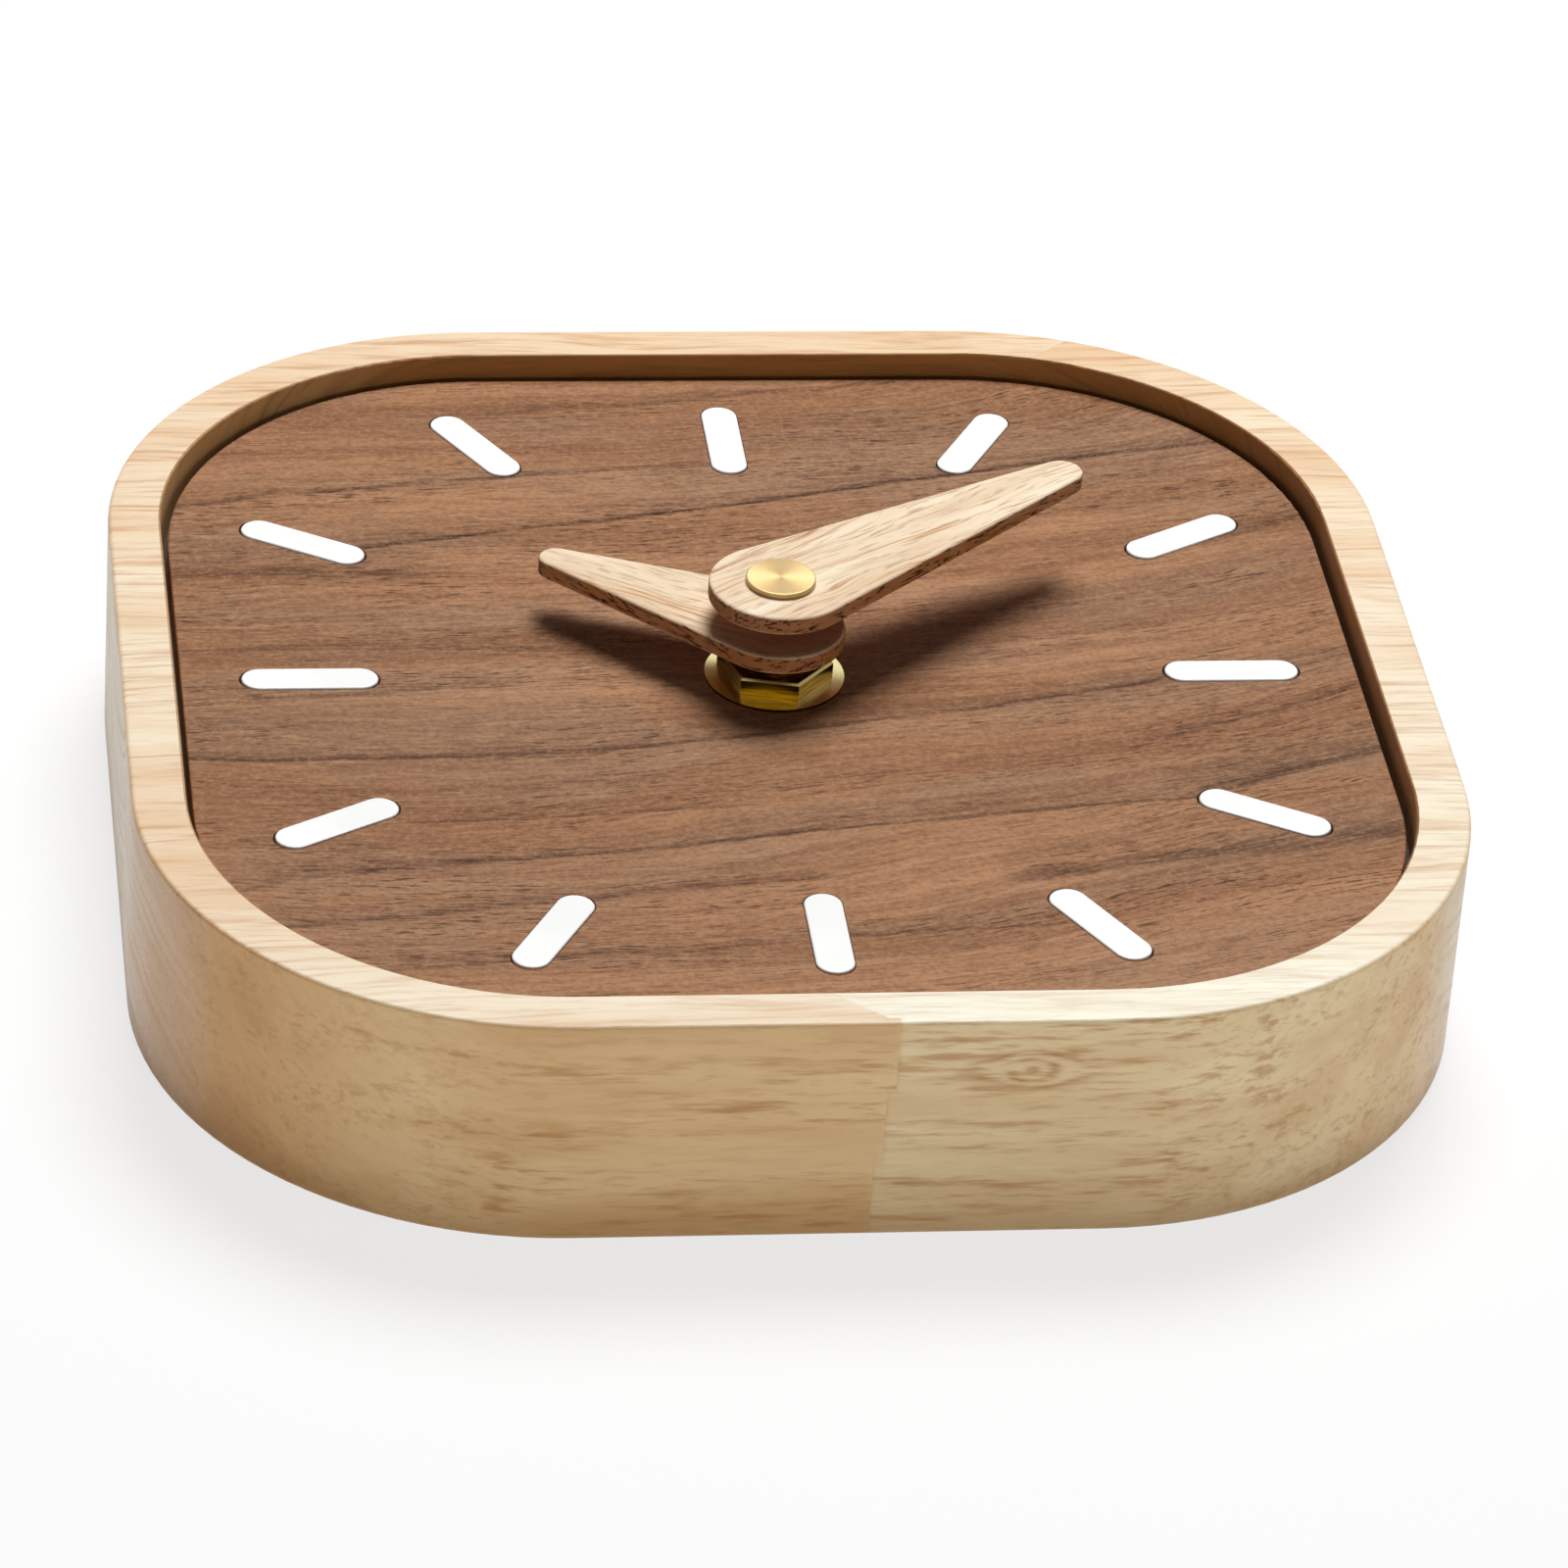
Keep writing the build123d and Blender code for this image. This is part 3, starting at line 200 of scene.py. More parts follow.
# Hands: degrees clockwise from 12 o'clock, shift of the pattern, depth of the painted shadow of the minute
# hand on the hub; radii in millimetres
HOUR_HAND = (302.0, 3.0, 0.60)
MINUTE_HAND = (55.7, 40.0, 0.0)
HUB_SHADOW_REACH = (6.5, 9.5)

# Colours of the hands
HAND_TONES = ((0.32, srgb(232, 204, 170)), (0.68, srgb(254, 236, 208)))
HAND_LINES = srgb(198, 140, 88)
HAND_FIBRES = srgb(182, 122, 74)
HAND_UNDERSIDE_SHADE = srgb(176, 112, 58)
HAND_HUB_SHADOW = srgb(172, 110, 54)
HAND_EDGE_DARK_AND_SHADE = srgb(158, 92, 28)
HAND_PORES = srgb(116, 68, 36)
EDGE_PORES = srgb(66, 38, 20)
EDGE_PITS = srgb(44, 24, 10)

# Colours of the brass parts and of the battery's film
CAP_RINGS = ((0.3, srgb(160, 134, 90)), (0.7, srgb(184, 159, 114)))
NUT_FLATS_SHADED = (srgb(94, 66, 6), srgb(144, 110, 22))
NUT_FLANGE = (srgb(238, 222, 146), srgb(250, 240, 182))
NUT_TOP_SHADE = srgb(112, 86, 26)
FILM_BODY = (srgb(38, 58, 78), srgb(50, 74, 96))
FILM_BAND = (srgb(178, 180, 182), srgb(204, 205, 206))
FILM_SCUFFS = srgb(150, 152, 154)

# Battery, in millimetres: place along it, radius, and the finish from there to the next row
BATTERY_SIDES = 64
JACKET, STEEL, SEAL = range(3)
BATTERY_ROWS = (
    (-25.25, 4.40, STEEL), (-25.20, 4.70, STEEL), (-24.95, 4.85, SEAL), (-24.95, 5.60, JACKET),
    (-25.10, 5.75, JACKET), (-25.18, 6.20, JACKET), (-25.05, 6.80, JACKET), (-24.70, 7.12, JACKET),
    (-24.30, 7.24, JACKET), (-22.90, 7.24, JACKET), (-22.60, 7.08, JACKET), (-22.30, 7.24, JACKET),
    (12.00, 7.24, JACKET), (21.10, 7.24, JACKET), (21.40, 7.08, JACKET), (21.70, 7.24, JACKET),
    (23.40, 7.24, JACKET), (23.80, 7.12, JACKET), (24.10, 6.80, JACKET), (24.22, 6.20, JACKET),
    (24.12, 5.70, JACKET), (23.95, 5.55, SEAL), (23.95, 3.30, STEEL), (24.05, 2.95, STEEL),
    (24.30, 2.75, STEEL), (25.00, 2.72, STEEL), (25.20, 2.55, STEEL), (25.25, 2.25, STEEL),
)
BATTERY_BAND_START = 12.0

# Dial nut and threaded bush, in millimetres
NUT_FLANGE_TOP = 26.2
BUSH_RADIUS = 4.0
BUSH_FOOT_RADIUS = 6.0
BUSH_FOOT_HEIGHT = 1.4
BUSH_EDGE = 0.2
BUSH_BORE_RADIUS = 3.15
BUSH_SIDES = 60
THREAD_PITCH = 0.75
THREAD_DEPTH = 0.36
THREAD_ROWS_PER_TURN = 6

# Raised marks on the back of the movement, in millimetres and degrees
KNOB_ARC_RADIUS = 6.6
KNOB_ARC_ANGLES = range(112, 237, 4)
ARROW_AHEAD = 0.9
BARB_BACK = 1.6
BARB_ASIDE = 1.3
MINUS_SIGN = ((-26.0, -11.4), (-23.2, -11.4))
PLUS_SIGN = ((23.8, -11.4), (26.6, -11.4))
PLUS_SIGN_CROSS = ((25.2, -12.8), (25.2, -10.0))
PIN_RING_PLACES = ((-23.5, 19.3), (23.5, 19.3), (-23.5, -6.0), (11.5, -9.5))
PIN_RING_RADIUS = 1.7
PIN_RING_ANGLES = range(0, 360, 12)
PANEL_PLACE = (-6.0, 6.5)
PANEL_HALF_SIZE = (14.0, 8.0)
PANEL_CORNER_RADIUS = 2.0
# Half width and height of each kind of line: lines that cross differ in height
ARROW_LINE = (0.35, 0.30)
BARB_LINE = (0.35, 0.28)
SIGN_LINE = (0.40, 0.30)
SIGN_CROSS_LINE = (0.40, 0.32)
PIN_RING_LINE = (0.22, 0.17)
PANEL_LINE = (0.35, 0.25)
MARK_SINK = 0.05
MARK_CHAMFER = 0.12
MITRE_LIMIT = 0.3

# Meshes, in degrees: step round a corner, and the angle from which an edge looks sharp
CORNER_STEP = 5
SHARP_ANGLE = 35

# Sockets of Blender's mix node in its colour form
MIX_FACTOR, MIX_FIRST, MIX_SECOND, MIX_RESULT = 0, 6, 7, 2


class Shader:
    """A node tree being filled: short calls add nodes and return their output sockets."""

    def __init__(self, tree):
        self.nodes = tree.nodes
        self.links = tree.links

    def feed(self, socket, value):
        if isinstance(value, bpy.types.NodeSocket):
            self.links.new(value, socket)
        else:
            socket.default_value = value

    def add(self, kind, inputs, **settings):
        node = self.nodes.new(kind)
        for name, value in settings.items():
            setattr(node, name, value)
        for key, value in inputs.items():
            self.feed(node.inputs[key], value)
        return node

    def math(self, operation, *values):
        return self.add("ShaderNodeMath", dict(enumerate(values)), operation=operation).outputs[0]

    def times(self, *values):
        product = values[0]
        for value in values[1:]:
            product = self.math("MULTIPLY", product, value)
        return product

    def total(self, *values):
        result = values[0]
        for value in values[1:]:
            result = self.math("ADD", result, value)
        return result

    def less(self, value, taken):
        return self.math("SUBTRACT", value, taken)

    def rest(self, share):
        """What a share leaves of 1."""
        return self.less(1.0, share)

    def size(self, value):
        """A value without its sign."""
        return self.math("ABSOLUTE", value)

    def above(self, value, limit):
        return self.math("GREATER_THAN", value, limit)

    def below(self, value, limit):
        return self.math("LESS_THAN", value, limit)

    def length(self, *sides):
        return self.math("SQRT", self.total(*[self.times(side, side) for side in sides]))

    def rise(self, value, low, high):
        """0 below low, 1 above high, and a smooth step between."""
        settings = {"Value": value, "From Min": low, "From Max": high}
        return self.add("ShaderNodeMapRange", settings, interpolation_type="SMOOTHSTEP").outputs[0]

    def fall(self, value, low, high):
        """1 below low, 0 above high, and a smooth step between."""
        return self.rest(self.rise(value, low, high))

    def axes(self, coords):
        return self.add("ShaderNodeSeparateXYZ", {0: coords}).outputs

    def join(self, x, y, z):
        return self.add("ShaderNodeCombineXYZ", {0: x, 1: y, 2: z}).outputs[0]

    def blend(self, share, first, second):
        """Two shaders mixed."""
        return self.add("ShaderNodeMixShader", {0: share, 1: first, 2: second}).outputs[0]


class Finish(Shader):
    """A material being made, with the patterns and colours of its surface."""

    def __init__(self, name, **constants):
        self.material = bpy.data.materials.new(name)
        self.material.use_nodes = True
        super().__init__(self.material.node_tree)
        self.surface = self.nodes["Principled BSDF"]
        for socket, value in constants.items():
            self.surface.inputs[socket.replace("_", " ")].default_value = value

    def coords(self, turn=0.0):
        """Places on the piece in millimetres, turned so that X runs along the grain."""
        source = self.add("ShaderNodeTexCoord", {})
        turned = {"Vector": source.outputs["Object"], "Scale": (1000, 1000, 1000),
                  "Rotation": (0, 0, math.radians(turn))}
        return self.add("ShaderNodeMapping", turned).outputs[0]

    def normal(self):
        return self.axes(self.add("ShaderNodeTexCoord", {}).outputs["Normal"])

    def noise(self, coords, lengths, shift=0.0, detail=3.0, roughness=0.55):
        """Noise whose blotches have these lengths along X, Y and Z."""
        spread = self.add("ShaderNodeMapping", {"Vector": coords, "Scale": [1 / v for v in lengths],
                                                "Location": (shift, shift, shift)})
        settings = {"Vector": spread.outputs[0], "Scale": 1.0, "Detail": detail, "Roughness": roughness}
        return self.add("ShaderNodeTexNoise", settings).outputs[0]

    def mix(self, share, first, second):
        inputs = {MIX_FACTOR: share, MIX_FIRST: first, MIX_SECOND: second}
        return self.add("ShaderNodeMix", inputs, data_type="RGBA").outputs[MIX_RESULT]

    def stain(self, base, colour, *shares):
        """A base with a colour laid over it by the product of these shares."""
        return self.mix(self.times(*shares), base, colour)

    def ramp(self, value, stops, interpolation="LINEAR"):
        node = self.add("ShaderNodeValToRGB", {0: value})
        node.color_ramp.interpolation = interpolation
        elements = node.color_ramp.elements
        while len(elements) < len(stops):
            elements.new(0.5)
        for element, (place, colour) in zip(elements, stops):
            element.position = place
            element.color = colour
        return node.outputs[0]

    def pick(self, index, values):
        """The value, from 0 to 1, in a short list that a whole number points to."""
        count = len(values)
        place = self.math("DIVIDE", self.total(index, 0.5), count)
        return self.ramp(place, [(k / count, (v, v, v, 1)) for k, v in enumerate(values)], "CONSTANT")

    def pick_place(self, index, places, reach):
        """As pick, for places from -reach to reach."""
        shares = [place / reach / 2 + 0.5 for place in places]
        return self.times(self.less(self.pick(index, shares), 0.5), 2 * reach)

    def bump(self, height, depth):
        bumped = {"Height": height, "Distance": depth, "Strength": 1.0}
        self.feed(self.surface.inputs["Normal"], self.add("ShaderNodeBump", bumped).outputs[0])

    def colour(self, value):
        self.feed(self.surface.inputs["Base Color"], value)

    def roughness(self, value, low, high):
        settings = {"Value": value, "To Min": low, "To Max": high}
        self.feed(self.surface.inputs["Roughness"], self.add("ShaderNodeMapRange", settings).outputs[0])


def stave_blocks(wood, x, y, z):
    """Number of the timber block at a place, its tone, and how far past its finger joint that place is."""
    stave = wood.total(*[wood.above(y, edge) for edge in STAVE_EDGES])
    half_width = cad_high.x * 1000
    joint = wood.pick_place(stave, STAVE_JOINTS, half_width)
    # The joint is a zigzag on the flat faces and a few steps on the sides
    zigzag = wood.times(wood.math("PINGPONG", y, FINGER_PITCH), FINGER_LENGTH / FINGER_PITCH)
    inside = wood.below(wood.size(y), half_width - FINGER_MARGIN)
    steps = wood.times(wood.math("FLOOR", wood.math("DIVIDE", z, FINGER_STEP_HEIGHT)), FINGER_STEP)
    seam = wood.less(wood.total(joint, steps), wood.times(zigzag, inside))
    past_joint = wood.less(x, seam)
    block = wood.total(stave, wood.times(wood.above(past_joint, 0.0), len(STAVE_TONES_LEFT)))
    tone_left = wood.pick(stave, STAVE_TONES_LEFT)
    tone_gain = wood.less(wood.pick(stave, STAVE_TONES_RIGHT), tone_left)
    tone = wood.total(tone_left, wood.times(tone_gain, wood.rise(past_joint, -JOINT_BLEND, JOINT_BLEND)))
    return block, tone, past_joint


def board_grain(wood, coords, block):
    """Patterns of the rubberwood, by name. Each block is a different piece of timber, so they are shifted."""
    shift = wood.join(*[wood.times(block, step) for step in BLOCK_SHIFT])
    place = wood.add("ShaderNodeVectorMath", {0: coords, 1: shift}).outputs[0]
    x, y, z = wood.axes(place)
    waver = wood.noise(place, (60, 18, 18), detail=2.0)
    ring = wood.total(y, wood.times(z, -0.8), wood.times(waver, 9.0))
    return SimpleNamespace(
        waver=waver,
        lines=wood.noise(wood.join(wood.times(x, 0.05), ring, 0.0), (1, 1.1, 1), roughness=0.7),
        bands=wood.noise(place, (80, 8, 8), shift=3.0),
        pores=wood.noise(place, (11.0, 1.05, 1.05), shift=7.0, roughness=0.6),
        small_pores=wood.noise(place, (4.6, 0.62, 0.62), shift=17.0, detail=2.0),
        clusters=wood.noise(place, (50, 6, 6), shift=21.0, detail=2.0),
        specks=wood.noise(place, (1.6, 0.20, 0.20), shift=13.0, detail=2.0),
        end_pores=wood.noise(place, (6.0, 0.42, 0.42), shift=41.0, detail=1.0),
    )


def growth_rings(wood, block, y, z, waver):
    """Rings of the years round the heart of the tree."""
    heart_y, heart_z = (wood.pick_place(block, places, HEART_REACH) for places in zip(*HEARTS))
    year = wood.length(wood.less(y, heart_y), wood.less(z, heart_z))
    year = wood.total(year, wood.times(waver, 4.0))
    return wood.noise(wood.join(year, 0.0, 0.0), (1.9, 1, 1), roughness=0.65)


def bare_board(wood, x, y, tone, flat, end_grain):
    """Colour of the board before its grain: rim, sides in darker, warmer colours that are painted shade, end
    grain in a pale tone that is partly its own and partly painted sheen, and a browned front corner.
    """
    rim = wood.mix(tone, RIM_DEEP, RIM_PALE)
    # Painted warm shade on the upright faces, paler towards the back; pale end grain with painted sheen
    side = wood.mix(tone, SIDE_DEEP_SHADED, SIDE_PALE_SHADED)
    side = wood.stain(side, SIDE_BACK_SHADED, wood.rise(y, *BACK_REACH), 0.75)
    side = wood.stain(side, END_GRAIN_AND_SHEEN, end_grain)
    side = wood.stain(side, SIDE_BROWNED, wood.fall(x, *BROWNED_X), wood.fall(y, *BROWNED_Y), 0.50)
    return wood.mix(flat, side, rim)


def knot_lines(wood, x, y, z, grain):
    """Growth lines that close around a knot on the front face."""
    along = wood.math("DIVIDE", wood.less(x, KNOT_PLACE[0]), KNOT_SIZE[0])
    upward = wood.less(z, KNOT_PLACE[1])
    bulge = wood.rest(wood.math("EXPONENT", wood.times(along, along, -1.0)))
    bulge = wood.times(bulge, KNOT_SIZE[1] ** 2)
    ring = wood.math("SQRT", wood.total(wood.times(upward, upward), bulge))
    ring = wood.total(ring, wood.times(grain.pores, 1.6), wood.times(grain.bands, 1.2))
    wave = wood.math("PINGPONG", ring, KNOT_SPACING / 2)
    lines = wood.rise(wave, 0.06 * KNOT_SPACING, 0.50 * KNOT_SPACING)
    away = wood.total(wood.times(along, along, 0.30), wood.times(upward, upward, 0.10))
    near = wood.fall(wood.math("SQRT", away), 0.5, 1.35)
    return wood.times(lines, near, wood.rise(grain.small_pores, 0.30, 0.60), wood.below(y, KNOT_BACK))


def recess_and_painted_light(wood, x, y, z, normal, lines):
    """Where the recess for the dial is cut, and its colour: darker than the board, with painted shade on the
    right and far walls and on the floor under the dial, and a painted lit tone, palest, on the left wall.
    """
    inward = wood.total(wood.times(normal[0], x), wood.times(normal[1], y))
    floor = wood.times(wood.above(normal[2], 0.5), wood.below(z, DIAL_TOP))
    cut = wood.math("MAXIMUM", wood.fall(inward, *RECESS_INWARD), floor)
    cut = wood.times(cut, wood.above(z, DIAL_TOP - RECESS_DEPTH))
    # Painted light and shade by which way each wall faces
    colour = wood.mix(wood.rise(normal[0], -1.0, 0.0), RECESS_RIGHT_SHADE, RECESS_FAR_SHADE)
    colour = wood.stain(colour, RECESS_LEFT_LIT, wood.rise(normal[0], 0.10, 0.65))
    colour = wood.stain(colour, RECESS_LINES, wood.rise(lines, 0.45, 0.70), 0.40)
    return cut, wood.stain(colour, RECESS_FLOOR_SHADE, floor)


def rubberwood():
    """Pale finger-jointed board: staves of differing tone, growth lines, and short brown pores."""
    wood = Finish("rubberwood", Specular_IOR_Level=0.32)
    coords = wood.coords()
    x, y, z = wood.axes(coords)
    normal = wood.normal()
    block, tone, past_joint = stave_blocks(wood, x, y, z)
    front = wood.fall(y, *FRONT_REACH)
    tone = wood.total(tone, wood.times(front, FRONT_TONE))
    flat = wood.rise(wood.size(normal[2]), 0.55, 0.95)
    upright = wood.rest(flat)
    end_grain = wood.rise(wood.size(normal[0]), 0.78, 1.0)
    long_grain = wood.rest(end_grain)
    grain = board_grain(wood, coords, block)
    years = growth_rings(wood, block, y, z, grain.waver)
    base = bare_board(wood, x, y, tone, flat, end_grain)

    # Bands and growth lines, fainter in the paler blocks
    clean = wood.rest(wood.times(tone, 0.45))
    band_colour = wood.mix(flat, SIDE_BANDS_SHADED, RIM_BANDS)
    band_depth = wood.times(wood.less(0.72, wood.times(end_grain, 0.55)), clean)
    base = wood.stain(base, band_colour, wood.rise(grain.bands, 0.40, 0.72), band_depth)
    rim_lines = wood.times(flat, wood.less(0.68, wood.times(front, 0.26)))
    line_depth = wood.times(wood.total(0.20, rim_lines), long_grain, clean)
    base = wood.stain(base, GROWTH_LINES, wood.rise(grain.lines, 0.45, 0.72), line_depth)

    # Pores, long on the sides and fainter on the rim and round the corners
    dashes = wood.times(wood.rise(grain.pores, 0.48, 0.72), wood.rise(grain.clusters, 0.30, 0.62))
    dots = wood.times(wood.rise(grain.small_pores, 0.52, 0.72), wood.rise(grain.clusters, 0.28, 0.55))
    corner = wood.rise(wood.size(normal[0]), 0.10, 0.55)
    pore_depth = wood.times(wood.less(0.80, wood.times(flat, 0.50)), long_grain)
    pore_depth = wood.times(pore_depth, wood.rest(wood.times(corner, upright, 0.35)))
    base = wood.stain(base, LONG_PORES, dashes, pore_depth)
    base = wood.stain(base, SHORT_PORES, dots, pore_depth, 0.40)
    base = wood.stain(base, FINE_SPECKS, wood.rise(grain.specks, 0.60, 0.75), 0.15)
    base = wood.stain(base, END_YEARS, wood.rise(years, 0.42, 0.68), end_grain, 0.50)
    base = wood.stain(base, END_PORES, wood.rise(grain.end_pores, 0.60, 0.70), end_grain, 0.40)

    # Painted contact shade: the upright faces darker towards the floor
    base = wood.stain(base, SIDE_FOOT_SHADE, wood.fall(z, *FOOT_SHADE_REACH), upright, 0.32)
    base = wood.stain(base, KNOT_BROWN, knot_lines(wood, x, y, z, grain), 0.70)
    base = wood.stain(base, SEAM_BROWN, wood.fall(wood.size(past_joint), *SEAM_REACH), 0.06)
    cut, recess_painted_light = recess_and_painted_light(wood, x, y, z, normal, grain.lines)
    wood.colour(wood.stain(base, recess_painted_light, cut, 0.94))
    wood.roughness(grain.bands, 0.36, 0.52)
    pits = wood.times(wood.total(dashes, dots), long_grain)
    wood.bump(wood.less(wood.times(grain.specks, 0.4), pits), depth=0.00003)
    return wood.material


def dial_streaks(wood, x, y, x_squared):
    """Depth of the dark streaks, each with a dark core and a wide soft halo on its upper side."""
    streak = 0.0
    for start, end, height, slope, bend, width, depth in STREAKS:
        curve = wood.total(wood.times(x, slope), wood.times(x_squared, bend), height)
        off = wood.less(y, curve)
        core = wood.times(wood.rise(off, -0.6 * width, 0.0), wood.fall(off, 0.0, 1.5 * width))
        halo = wood.times(wood.rise(off, -0.8 * width, 0.3 * width), wood.fall(off, 0.5 * width, 6.0 * width))
        span = wood.times(wood.rise(x, start - STREAK_FADE, start), wood.fall(x, end, end + STREAK_FADE))
        mark = wood.times(wood.math("MAXIMUM", core, wood.times(halo, 0.30)), span, depth)
        streak = wood.math("MAXIMUM", streak, mark)
    return streak


def walnut():
    """Oiled walnut: grain that rises to the right, dark streaks, fibres and fine pores."""
    wood = Finish("walnut", Specular_IOR_Level=0.04)
    coords = wood.coords()
    x, y, z = wood.axes(coords)
    x_squared = wood.times(x, x)
    waver = wood.noise(coords, (34, 9, 9), shift=5.0)
    wobble = wood.times(wood.less(waver, 0.5), 3.2)
    climb = wood.total(wood.times(x, GRAIN_SLOPE), wood.times(x_squared, GRAIN_BEND))
    drift = wood.times(wood.noise(coords, (90, 40, 40), shift=11.0, detail=1.0), 12.0)
    ring = wood.total(wood.less(y, climb), wobble, drift)
    grain = wood.join(x, ring, z)
    bands = wood.noise(grain, (240, 9, 20), shift=2.0)
    patches = wood.noise(grain, (60, 11, 30), shift=9.0, detail=2.0)
    fibres = wood.noise(grain, (6.0, 0.50, 3), shift=15.0, detail=4.0, roughness=0.7)
    threads = wood.noise(grain, (55, 2.0, 9), shift=23.0, roughness=0.6)
    pores = wood.noise(grain, (3.4, 0.36, 1), shift=31.0, detail=2.0)
    crowd = wood.noise(grain, (30, 5, 9), shift=37.0, detail=2.0)
    mottle = wood.noise(coords, (0.70, 0.55, 0.6), shift=47.0, roughness=0.7)

    base = wood.ramp(bands, WALNUT_BANDS)
    base = wood.stain(base, WALNUT_PATCHES, wood.rise(patches, 0.40, 0.62), 0.55)
    # Painted shade towards the dial's left and right ends, painted light over its front half
    base = wood.stain(base, WALNUT_ENDS_SHADE, wood.rise(wood.size(x), *DIAL_SHADED_ENDS), 0.22)
    base = wood.stain(base, WALNUT_FRONT_LIGHT, wood.fall(y, *DIAL_LIT_FRONT), 0.30)
    base = wood.stain(base, WALNUT_THREADS, wood.rise(threads, 0.42, 0.72), 0.50)
    base = wood.stain(base, WALNUT_DARK_FIBRES, wood.rise(fibres, 0.48, 0.70), 0.45)
    base = wood.stain(base, WALNUT_LIGHT_FIBRES, wood.fall(fibres, 0.30, 0.48), 0.34)
    streak = dial_streaks(wood, x, wood.total(y, wobble), x_squared)
    streak = wood.times(streak, wood.total(0.50, wood.rise(fibres, 0.30, 0.62)))
    base = wood.stain(base, WALNUT_STREAKS, streak, 0.70)
    pits = wood.times(wood.rise(pores, 0.55, 0.66), wood.total(0.30, wood.rise(crowd, 0.38, 0.65)))
    base = wood.stain(base, WALNUT_PORES, pits, 0.60)
    base = wood.stain(base, WALNUT_LIGHT_MOTTLE, wood.rise(mottle, 0.48, 0.68), 0.26)
    base = wood.stain(base, WALNUT_DARK_MOTTLE, wood.fall(mottle, 0.34, 0.50), 0.26)
    wood.colour(base)
    wood.roughness(fibres, 0.50, 0.68)
    wood.bump(wood.less(wood.times(mottle, 0.3), pits), depth=0.00005)
    return wood.material


def hand_wood(name, clock_angle, shift, hub_shadow):
    """Open-pored pale oak with its grain along a hand, with a painted shadow round its hub, painted shade
    below, and edges that are darker wood with painted shade.
    """
    wood = Finish(name, Specular_IOR_Level=0.04)
    coords = wood.coords(turn=clock_angle - 90)
    x, y, z = wood.axes(coords)
    waver = wood.noise(coords, (24, 7, 7), shift, detail=2.0)
    ring = wood.total(y, wood.times(z, 0.7), wood.times(waver, 5.0))
    grain = wood.join(x, ring, z)
    lines = wood.noise(wood.join(wood.times(x, 0.02), ring, 0.0), (1, 1.5, 1), shift, roughness=0.8)
    fibres = wood.noise(grain, (12.0, 0.50, 0.5), shift + 2.0)
    pores = wood.noise(grain, (3.6, 0.34, 0.46), shift + 4.0, detail=1.5)
    edge_pits = wood.noise(grain, (2.6, 0.9, 0.55), shift + 6.0, detail=2.0)
    broad = wood.noise(coords, (30, 4, 4), shift + 8.0, detail=2.0)
    facing = wood.normal()[2]
    edge = wood.fall(wood.size(facing), 0.20, 0.80)

    base = wood.ramp(broad, HAND_TONES)
    base = wood.stain(base, HAND_LINES, wood.rise(lines, 0.54, 0.64), 0.70)
    base = wood.stain(base, HAND_FIBRES, wood.rise(fibres, 0.56, 0.70), 0.55)
    # Painted shade on the faces that look down
    base = wood.stain(base, HAND_UNDERSIDE_SHADE, wood.fall(facing, -0.9, -0.5), 0.70)
    # Painted shadow of the minute hand round the hub
    base = wood.stain(base, HAND_HUB_SHADOW, wood.fall(wood.length(x, y), *HUB_SHADOW_REACH), hub_shadow)
    # Edges: darker wood, and painted shade
    base = wood.stain(base, HAND_EDGE_DARK_AND_SHADE, edge, 0.84)
    dots = wood.times(wood.rise(pores, 0.58, 0.66), wood.total(0.30, wood.times(edge, 0.60)))
    base = wood.stain(base, wood.mix(edge, HAND_PORES, EDGE_PORES), dots)
    base = wood.stain(base, EDGE_PITS, wood.rise(edge_pits, 0.58, 0.66), edge, 0.85)
    wood.colour(base)
    wood.roughness(lines, 0.46, 0.62)
    wood.bump(wood.rest(dots), depth=0.00006)
    return wood.material


def moulded(name, colour, roughness, grain=0.35, depth=0.00002):
    """Moulded plastic with a fine spark-eroded texture and slight tone drift."""
    plastic = Finish(name, Specular_IOR_Level=0.40)
    coords = plastic.coords()
    texture = plastic.noise(coords, (grain, grain, grain))
    drift = plastic.noise(coords, (14, 14, 14), shift=5.0, detail=2.0)
    lighter = [min(1.0, c * 1.35 + 0.004) for c in colour[:3]] + [1.0]
    plastic.colour(plastic.mix(plastic.rise(drift, 0.3, 0.7), colour, lighter))
    plastic.roughness(texture, roughness - 0.08, roughness + 0.10)
    plastic.bump(texture, depth)
    return plastic.material


def metal(name, colour, roughness, brushing=(0.4, 0.4, 0.4), depth=0.000006):
    """Bare metal with fine tool marks and faint tarnish."""
    bare = Finish(name, Metallic=1.0)
    coords = bare.coords()
    marks = bare.noise(coords, brushing)
    tarnish = bare.noise(coords, (3.5, 3.5, 3.5), shift=6.0)
    darker = [c * 0.72 for c in colour[:3]] + [1.0]
    bare.colour(bare.stain(colour, darker, bare.rise(tarnish, 0.45, 0.75), 0.5))
    bare.roughness(marks, roughness - 0.05, roughness + 0.09)
    bare.bump(marks, depth)
    return bare.material


def turned_brass():
    """Brass cap faced on a lathe: fine rings that give the fan of light."""
    brass = Finish("turned_brass", Metallic=1.0, Anisotropic=0.45)
    x, y, z = brass.axes(brass.coords())
    rings = brass.noise(brass.join(brass.length(x, y), 0.0, 0.0), (0.10, 1, 1), detail=2.0)
    brass.colour(brass.ramp(rings, CAP_RINGS))
    brass.roughness(rings, 0.30, 0.42)
    brass.bump(rings, depth=0.000008)
    tangent = brass.add("ShaderNodeTangent", {}, direction_type="RADIAL", axis="Z").outputs[0]
    brass.feed(brass.surface.inputs["Tangent"], tangent)
    return brass.material


